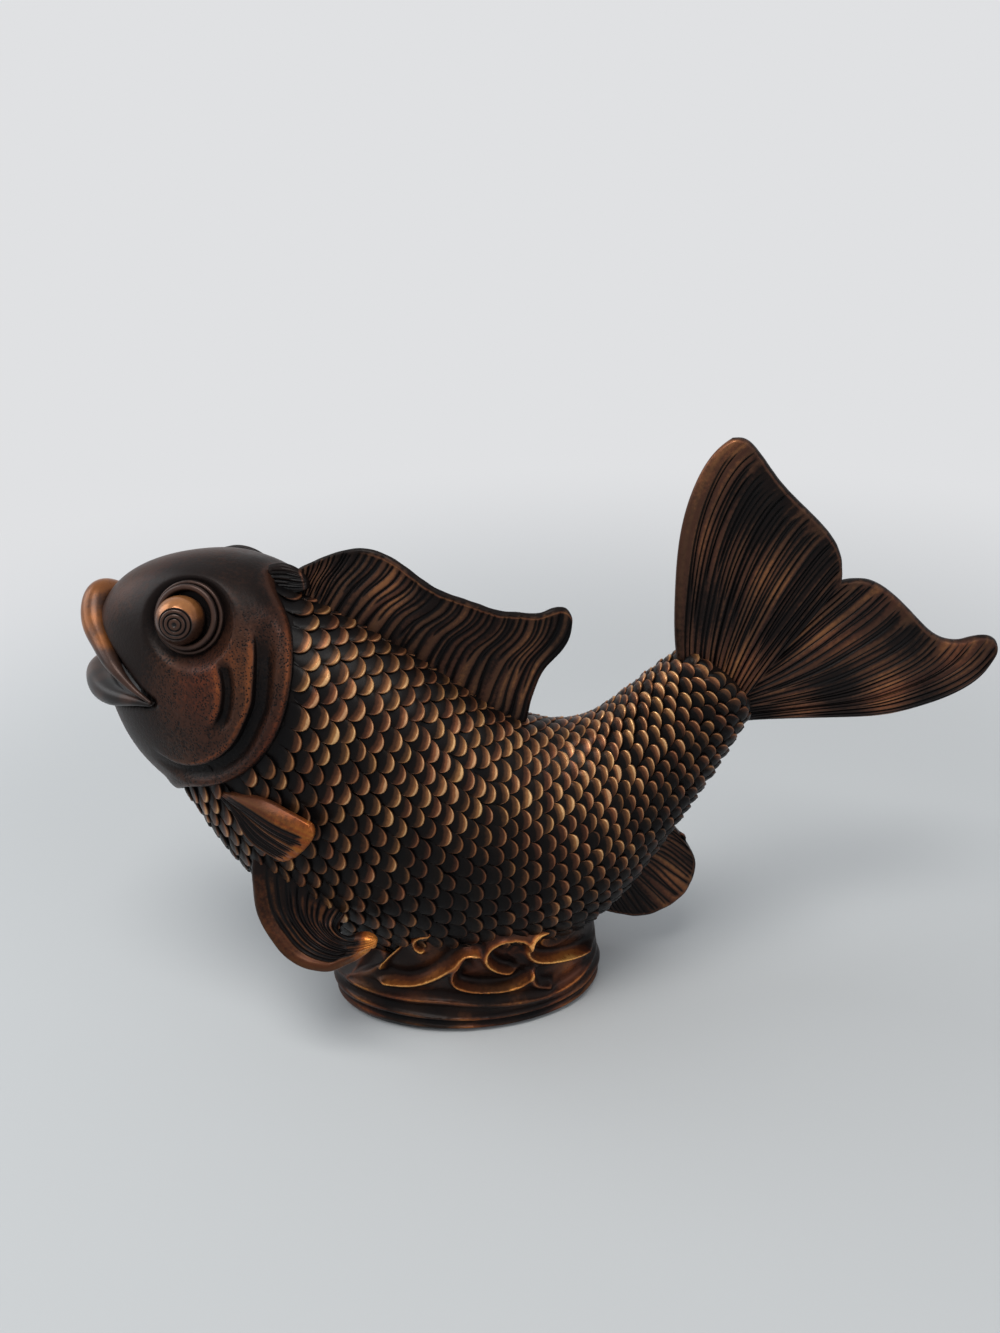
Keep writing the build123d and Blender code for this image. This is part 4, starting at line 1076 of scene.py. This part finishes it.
# eye rings: a flank, a thin outer rim, a groove and the wire round the ball
RING_PROFILE = ([(0.5, -13), (14.1, -13), (13.5, -8), (12.7, -4.4), (12.3, -2.9)]
                + arc_profile(11.4, -2.3, 0.8, 0, 150, 10) + [(10.7, -2.6), (10.55, -2.4)]
                + arc_profile(RING_R, -0.6, 1.1, -55, 200, 26)
                + [(8.6, -2.2), (8.45, -5), (8, -7.5), (0.5, -8.5)])
for side, name in ((-1, "left_eye_ring"), (1, "right_eye_ring")):
    place = eye_frame(side)
    v, f = lathe(place, RING_PROFILE)
    rel = v - place[0]
    rise = rel @ place[3]
    reach = np.linalg.norm(rel - rise[:, None] * place[3], axis=1)
    wire = np.exp(-(((reach - RING_R) ** 2 + (rise - 0.3) ** 2) / 1.1))
    rim = np.exp(-(((reach - 11.6) ** 2 + (rise + 1.6) ** 2) / 0.5))
    groove = np.exp(-(((reach - 10.7) ** 2 + (rise + 2.5) ** 2) / 0.25))
    inside = smooth(9.3, 8.7, reach)
    value = 0.28 + 0.22 * wire + 0.18 * rim - 0.4 * groove - 0.36 * inside
    add_piece(name, (v, f), LIP_FINISH, welded=True, wear=np.clip(value, 0, 1), tint=0.35)

# eyeballs with three stepped rings round the pupil, as radius and height over the cap's edge
PUPIL_STEPS = [(5.12, -0.02), (5.05, -0.34), (4.92, -0.36), (4.86, 0.1), (4.72, 0.46), (4.42, 0.62),
    (4, 0.72), (3.72, 0.66), (3.62, 0.34), (3.5, 0.3), (3.42, 0.62), (3.22, 0.9), (2.8, 1.06), (2.45, 1.08),
    (2.25, 0.96), (2.17, 0.62), (2.05, 0.6), (1.95, 0.9), (1.7, 1.14), (1.1, 1.26), (0.75, 1.22),
    (0.6, 0.94), (0.2, 0.86)]
CAP_ANGLE = math.radians(50.5)
for side, name, node in ((-1, "left_eyeball", "left_eye"), (1, "right_eyeball", "right_eye")):
    origin, x_dir, y_dir, out = eye_frame(side)
    centre = origin + x_dir * BALL_PLACE[0] + y_dir * BALL_PLACE[1] + out * BALL_PLACE[2]
    look = x_dir * BALL_LOOK[0] + y_dir * BALL_LOOK[1] + out * BALL_LOOK[2]
    look /= np.linalg.norm(look)
    xl = x_dir - look * x_dir.dot(look)
    xl /= np.linalg.norm(xl)
    top = BALL_R * math.sin(CAP_ANGLE)
    angles = np.linspace(math.radians(-89.5), CAP_ANGLE, 48)
    profile = [(BALL_R * math.cos(w), BALL_R * math.sin(w)) for w in angles]
    profile += [(r, top + h) for r, h in PUPIL_STEPS]
    v, f = lathe((centre, xl, np.cross(look, xl), look), profile)
    radii = np.array([profile[0]] + profile + [profile[-1]])
    r_all, h_all = np.repeat(radii[:, 0], LATHE_STEPS), np.repeat(radii[:, 1], LATHE_STEPS)
    disc = (h_all > top - 0.4) & (r_all < 5.2)
    steps = (3.56, 0.2), (2.11, 0.18), (5, 0.16), (0.35, 0.3)
    groove = sum(bell(r_all, r, w) for r, w in steps) * disc
    # painted light on the ball: a painted highlight where it faces up and a little towards +x, and painted
    # shade on its back half inside the ring
    facing_up = (v - centre) @ np.array([0.15, 0.0, 1.0]) / BALL_R
    eye_wear = np.where(disc, 0.50, 0.46 + 0.42 * smooth(-0.1, 0.8, facing_up))
    eye_wear -= 0.60 * np.clip(groove, 0, 1)
    eye_wear -= 0.5 * smooth(0.10, -0.35, (v - centre) @ out / BALL_R)
    add_piece(name, (v, f), (eye_paint, "eye_bronze", node), welded=True,
              wear=np.clip(eye_wear, 0, 1), tint=0.35)

# wave base: height, length and depth of its wall's rings, and the line of its top
RING_Z = np.array([0.0, 0.05, 0.10, 0.17, 0.25, 0.50, 1.05]) * 48.0
RING_A = np.array([0.955, 0.985, 0.965, 1.000, 0.975, 0.960, 0.890]) * 53.0
RING_B = np.array([0.955, 0.985, 0.965, 1.000, 0.970, 0.980, 1.040]) * 30.5
WAVE_TOP = np.array([(-0.56, 0.16), (-0.44, 0.3), (-0.32, 0.52), (-0.18, 0.9), (-0.08, 1), (0.03, 0.92),
    (0.14, 0.95), (0.24, 0.92), (0.34, 0.88), (0.44, 0.72), (0.56, 0.66)]) * [106, 48]
# crests: points on the wall (x, z), ridge height and width, hollow side, and the hollow's depth and reach
CRESTS = [
    ([(-34, 21.5), (-27, 22.8), (-18, 24.3), (-9.8, 28.5), (-3.3, 34.5), (2.1, 38.7), (6.2, 37.8),
      (7.8, 35)], 2.4, 1.7, 1, 2.6, 5),
    ([(2.6, 37.6), (-1.6, 33.3), (-3.4, 28.7), (-2.8, 23.9), (0.9, 21.4), (7.7, 19.7), (14.6, 19.1),
      (20, 19.9), (23.2, 22.3), (25.5, 25.8)], 2.2, 1.4, 1, 3, 5.5),
    ([(21.1, 26.2), (15.9, 26.9), (11.7, 29.6), (9, 34.6), (10.5, 38.6), (14.1, 41.5), (19.2, 41.6),
      (23.4, 38.8), (23.9, 34.7)], 2.2, 1.4, -1, 3, 5),
    ([(33.9, 35.5), (33.6, 38), (30.5, 40.4), (26.5, 39.5), (24.2, 36.3), (25.2, 31.1), (30, 27.5),
      (37.3, 24.7), (44, 22.2), (50, 20.4)], 2.2, 1.4, 1, 2.8, 5),
    ([(-9, 47), (-12.5, 46.6), (-15.6, 44.3), (-15.6, 40.6), (-12.3, 39.4)], 1.8, 1.2, 1, 2, 3.5),
    ([(25.5, 25.8), (25.2, 20.5), (27.5, 15.9), (33, 13.1)], 1.6, 1.4, 1, 1.8, 5),
    ([(-30.4, 25.3), (-27.8, 32.9), (-23.1, 38.9), (-20.4, 45)], 1.6, 1.6, -1, 1.6, 5),
    ([(-52, 15), (-40, 16.4), (-31.4, 16.2), (-17, 15.8), (-7.4, 15.4), (3.8, 13.6), (15.1, 12),
      (30.3, 11), (42, 12), (52, 15.5)], 1.4, 2.2, 1, 1.6, 4.5),
    ([(-52, 9.5), (-43.3, 10.2), (-31.9, 9.9), (-17.6, 8.8), (3.3, 6.6), (21, 6), (34.8, 6.4), (46, 8.4),
      (52, 10)], 1.2, 2, 1, 1.2, 3),
    ([(-52, 4.6), (-36, 4.6), (-18, 3.6), (3, 2.6), (21, 2.2), (40, 2.8), (52, 4.2)], 0.8, 1.6, 1, 0.7, 2.4)]


def wall_relief(x, z):
    """Outward relief of the waves at places on the near wall, and how much of it is a rubbed crest."""
    out_by = np.zeros(x.shape)
    gold = np.zeros(x.shape)
    for points, high, wide_, hollow, depth, reach in CRESTS:
        curve = along(points, np.linspace(0, 1, 60))
        d, u = polyline_distance(x, z, curve)
        fade = smooth(0, 0.12, u) * (1 - smooth(0.90, 1, u) * 0.8)
        inside = (u > 0.0005) & (u < 0.9995)
        ridge = bell(d, 0, wide_) * fade
        dd = d * hollow
        share = dd / (reach * 0.35)
        cup = np.where((dd > 0) & inside, np.clip(share, 0, None) * np.exp(1 - share), 0) * fade
        swell = np.where((dd < 0) & inside, np.exp(-(dd / (reach * 0.9)) ** 2), 0) * fade
        out_by += high * ridge - depth * cup * 0.8 + 0.45 * high * swell
        gold = np.maximum(gold, ridge)
    return out_by, gold


N_TH, N_H = 900, 170
theta = np.linspace(0, TURN, N_TH, endpoint=False)
ca, sa = np.cos(theta), np.sin(theta)
top_z = spline(arc_knots(WAVE_TOP), WAVE_TOP, np.linspace(0, 1, 300))
top_near = np.interp(51.0 * ca, top_z[:, 0], top_z[:, 1])
Z = np.linspace(0, 1, N_H)[:, None] * top_near[None, :]
Xw, Yw = np.interp(Z, RING_Z, RING_A) * ca[None], np.interp(Z, RING_Z, RING_B) * sa[None]
bump_out, _ = wall_relief(np.where(sa[None] < 0, Xw, -Xw), Z)
bump_out = bump_out * (0.35 + 0.65 * smooth(0.02, 0.25, np.abs(sa))[None])
bump_out = bump_out * smooth(0.0, 0.8, Z)
normal_xy = unit(np.stack([ca / 53.0, sa / 30.5], -1))
wall = np.stack([Xw + normal_xy[None, :, 0] * bump_out, Yw + normal_xy[None, :, 1] * bump_out, Z], -1)
# the inside closes under the belly, and climbs towards the head
CLIMB_TO = 31.0
inner_rings = []
for shrink_by, drop in ((0.985, 0.9), (0.95, 0.8), (0.9, -0.4), (0.8, -2.5), (0.5, -6), (0.2, -8)):
    ring = wall[-1].copy()
    ring[:, :2] *= shrink_by
    ring[:, 2] = np.maximum(ring[:, 2] + drop, 1.0)
    climb = smooth(-8.0, -26.0, ring[:, 0]) * smooth(1.0, 0.72, shrink_by)
    ring[:, 2] += (CLIMB_TO - ring[:, 2]) * climb * (ring[:, 2] < CLIMB_TO)
    inner_rings.append(ring)
foot = wall[0].copy()
foot_in = foot.copy()
foot_in[:, :2] *= 0.985
foot_in[:, 2] = 0.0
foot[:, 2] = 0.5
rings = np.concatenate([foot_in[None], foot[None], wall[1:], np.array(inner_rings)])
base = make_object("wave_base_casting", *closed_tube(rings))
apply_modifier(base, "REMESH", mode="VOXEL", voxel_size=VOXEL_MM * MM, use_smooth_shade=True)
verts, _, edges = mesh_arrays(base)
verts = relax(verts, edges, 2)
verts[:, 2] = np.maximum(verts[:, 2], 0.0)
base.data.vertices.foreach_set("co", (verts * MM).ravel())
base.data.update()
_, gold = wall_relief(np.where(verts[:, 1] < 0, verts[:, 0], -verts[:, 0]), verts[:, 2])
level = 0.36 + (relief(base, 12, 0.60) - 0.5) * 1.2 + (relief(base, 70, 0.14) - 0.5) * 1.1
level = level + 0.10 * noise_field(verts, 24.0, 31) + 0.34 * gold ** 1.5 * smooth(12, 24, verts[:, 2])
# painted shade: the lowest 3 mm of the base, next to the floor, are painted darker
level -= 0.25 * smooth(3.0, 0.0, verts[:, 2])
set_attributes(base, wear=np.clip(level, 0, 1), tint=np.clip(0.4 + 0.3 * noise_field(verts, 20.0, 37), 0, 1))
finish_piece(base, wave_paint, "wave_bronze", "wave_base")

# stage: with distance the floor turns into a plain glow, so that it meets the backdrop unseen
BACKDROP = srgb(224, 225, 227)
bpy.ops.mesh.primitive_plane_add(size=12.0, location=(0, 0, 0))
floor = bpy.context.object
floor.name = "floor"
floor_paint = bpy.data.materials.new("floor_grey")
floor_paint.use_nodes = True
tree = floor_paint.node_tree
floor_node = node_adder(tree)
shader = tree.nodes["Principled BSDF"]
shader.inputs["Roughness"].default_value = 0.6
shader.inputs["Specular IOR Level"].default_value = 0.2
away = floor_node("VectorMath", {0: floor_node("TexCoord", {}, "Object")}, "Value", operation="LENGTH")


def fade(near, far):
    """Share that rises with the distance from the object, in metres."""
    return floor_node("MapRange", {"Value": away, "From Min": near, "From Max": far}, "Result",
                      interpolation_type="SMOOTHSTEP")


grey = floor_node("Mix", {"Factor": fade(0.24, 0.70), "A": srgb(190, 193, 195), "B": srgb(214, 216, 218)},
                  "Result", data_type="RGBA")
tree.links.new(grey, shader.inputs["Base Color"])
glow = floor_node("Emission", {"Color": BACKDROP})
blend = floor_node("MixShader", {0: fade(0.28, 0.80), 1: shader.outputs["BSDF"], 2: glow})
tree.links.new(blend, tree.nodes["Material Output"].inputs["Surface"])
floor.data.materials.append(floor_paint)

# world: soft light, and the plain backdrop for camera, glossy and transmission rays
world = bpy.data.worlds.new("studio")
bpy.context.scene.world = world
world.use_nodes = True
tree = world.node_tree
world_node = node_adder(tree)
light = tree.nodes["Background"]
light.inputs["Color"].default_value = srgb(226, 229, 233)
light.inputs["Strength"].default_value = 0.50
rays = world_node("LightPath", {}).node.outputs
seen = world_node("Math", {0: rays["Is Camera Ray"], 1: rays["Is Glossy Ray"]}, operation="ADD")
seen = world_node("Math", {0: seen, 1: rays["Is Transmission Ray"]}, operation="ADD", use_clamp=True)
plain = world_node("Background", {"Color": BACKDROP, "Strength": 1.0})
blend = world_node("MixShader", {0: seen, 1: light.outputs[0], 2: plain})
tree.links.new(blend, tree.nodes["World Output"].inputs["Surface"])


def area(name, location, target, size, power, colour=(1, 1, 1)):
    """Rectangular lamp that looks at a target."""
    data = bpy.data.lights.new(name, "AREA")
    data.shape = "RECTANGLE"
    data.size, data.size_y = size
    data.energy = power
    data.color = colour
    lamp = bpy.data.objects.new(name, data)
    bpy.context.scene.collection.objects.link(lamp)
    lamp.location = location
    lamp.rotation_euler = (Vector(target) - Vector(location)).to_track_quat("-Z", "Y").to_euler()


area("key", (-0.15, -0.35, 1.25), (0, 0, 0.08), (0.7, 0.5), 10, (1, 0.98, 0.95))
area("window", (-1.2, 0.25, 0.9), (0, 0, 0.1), (0.9, 0.9), 8, (0.95, 0.98, 1))
area("fill", (1.1, -0.8, 0.7), (0, 0, 0.1), (0.8, 0.8), 3)

bpy.context.scene.view_settings.view_transform = "Standard"
bpy.context.view_layer.update()
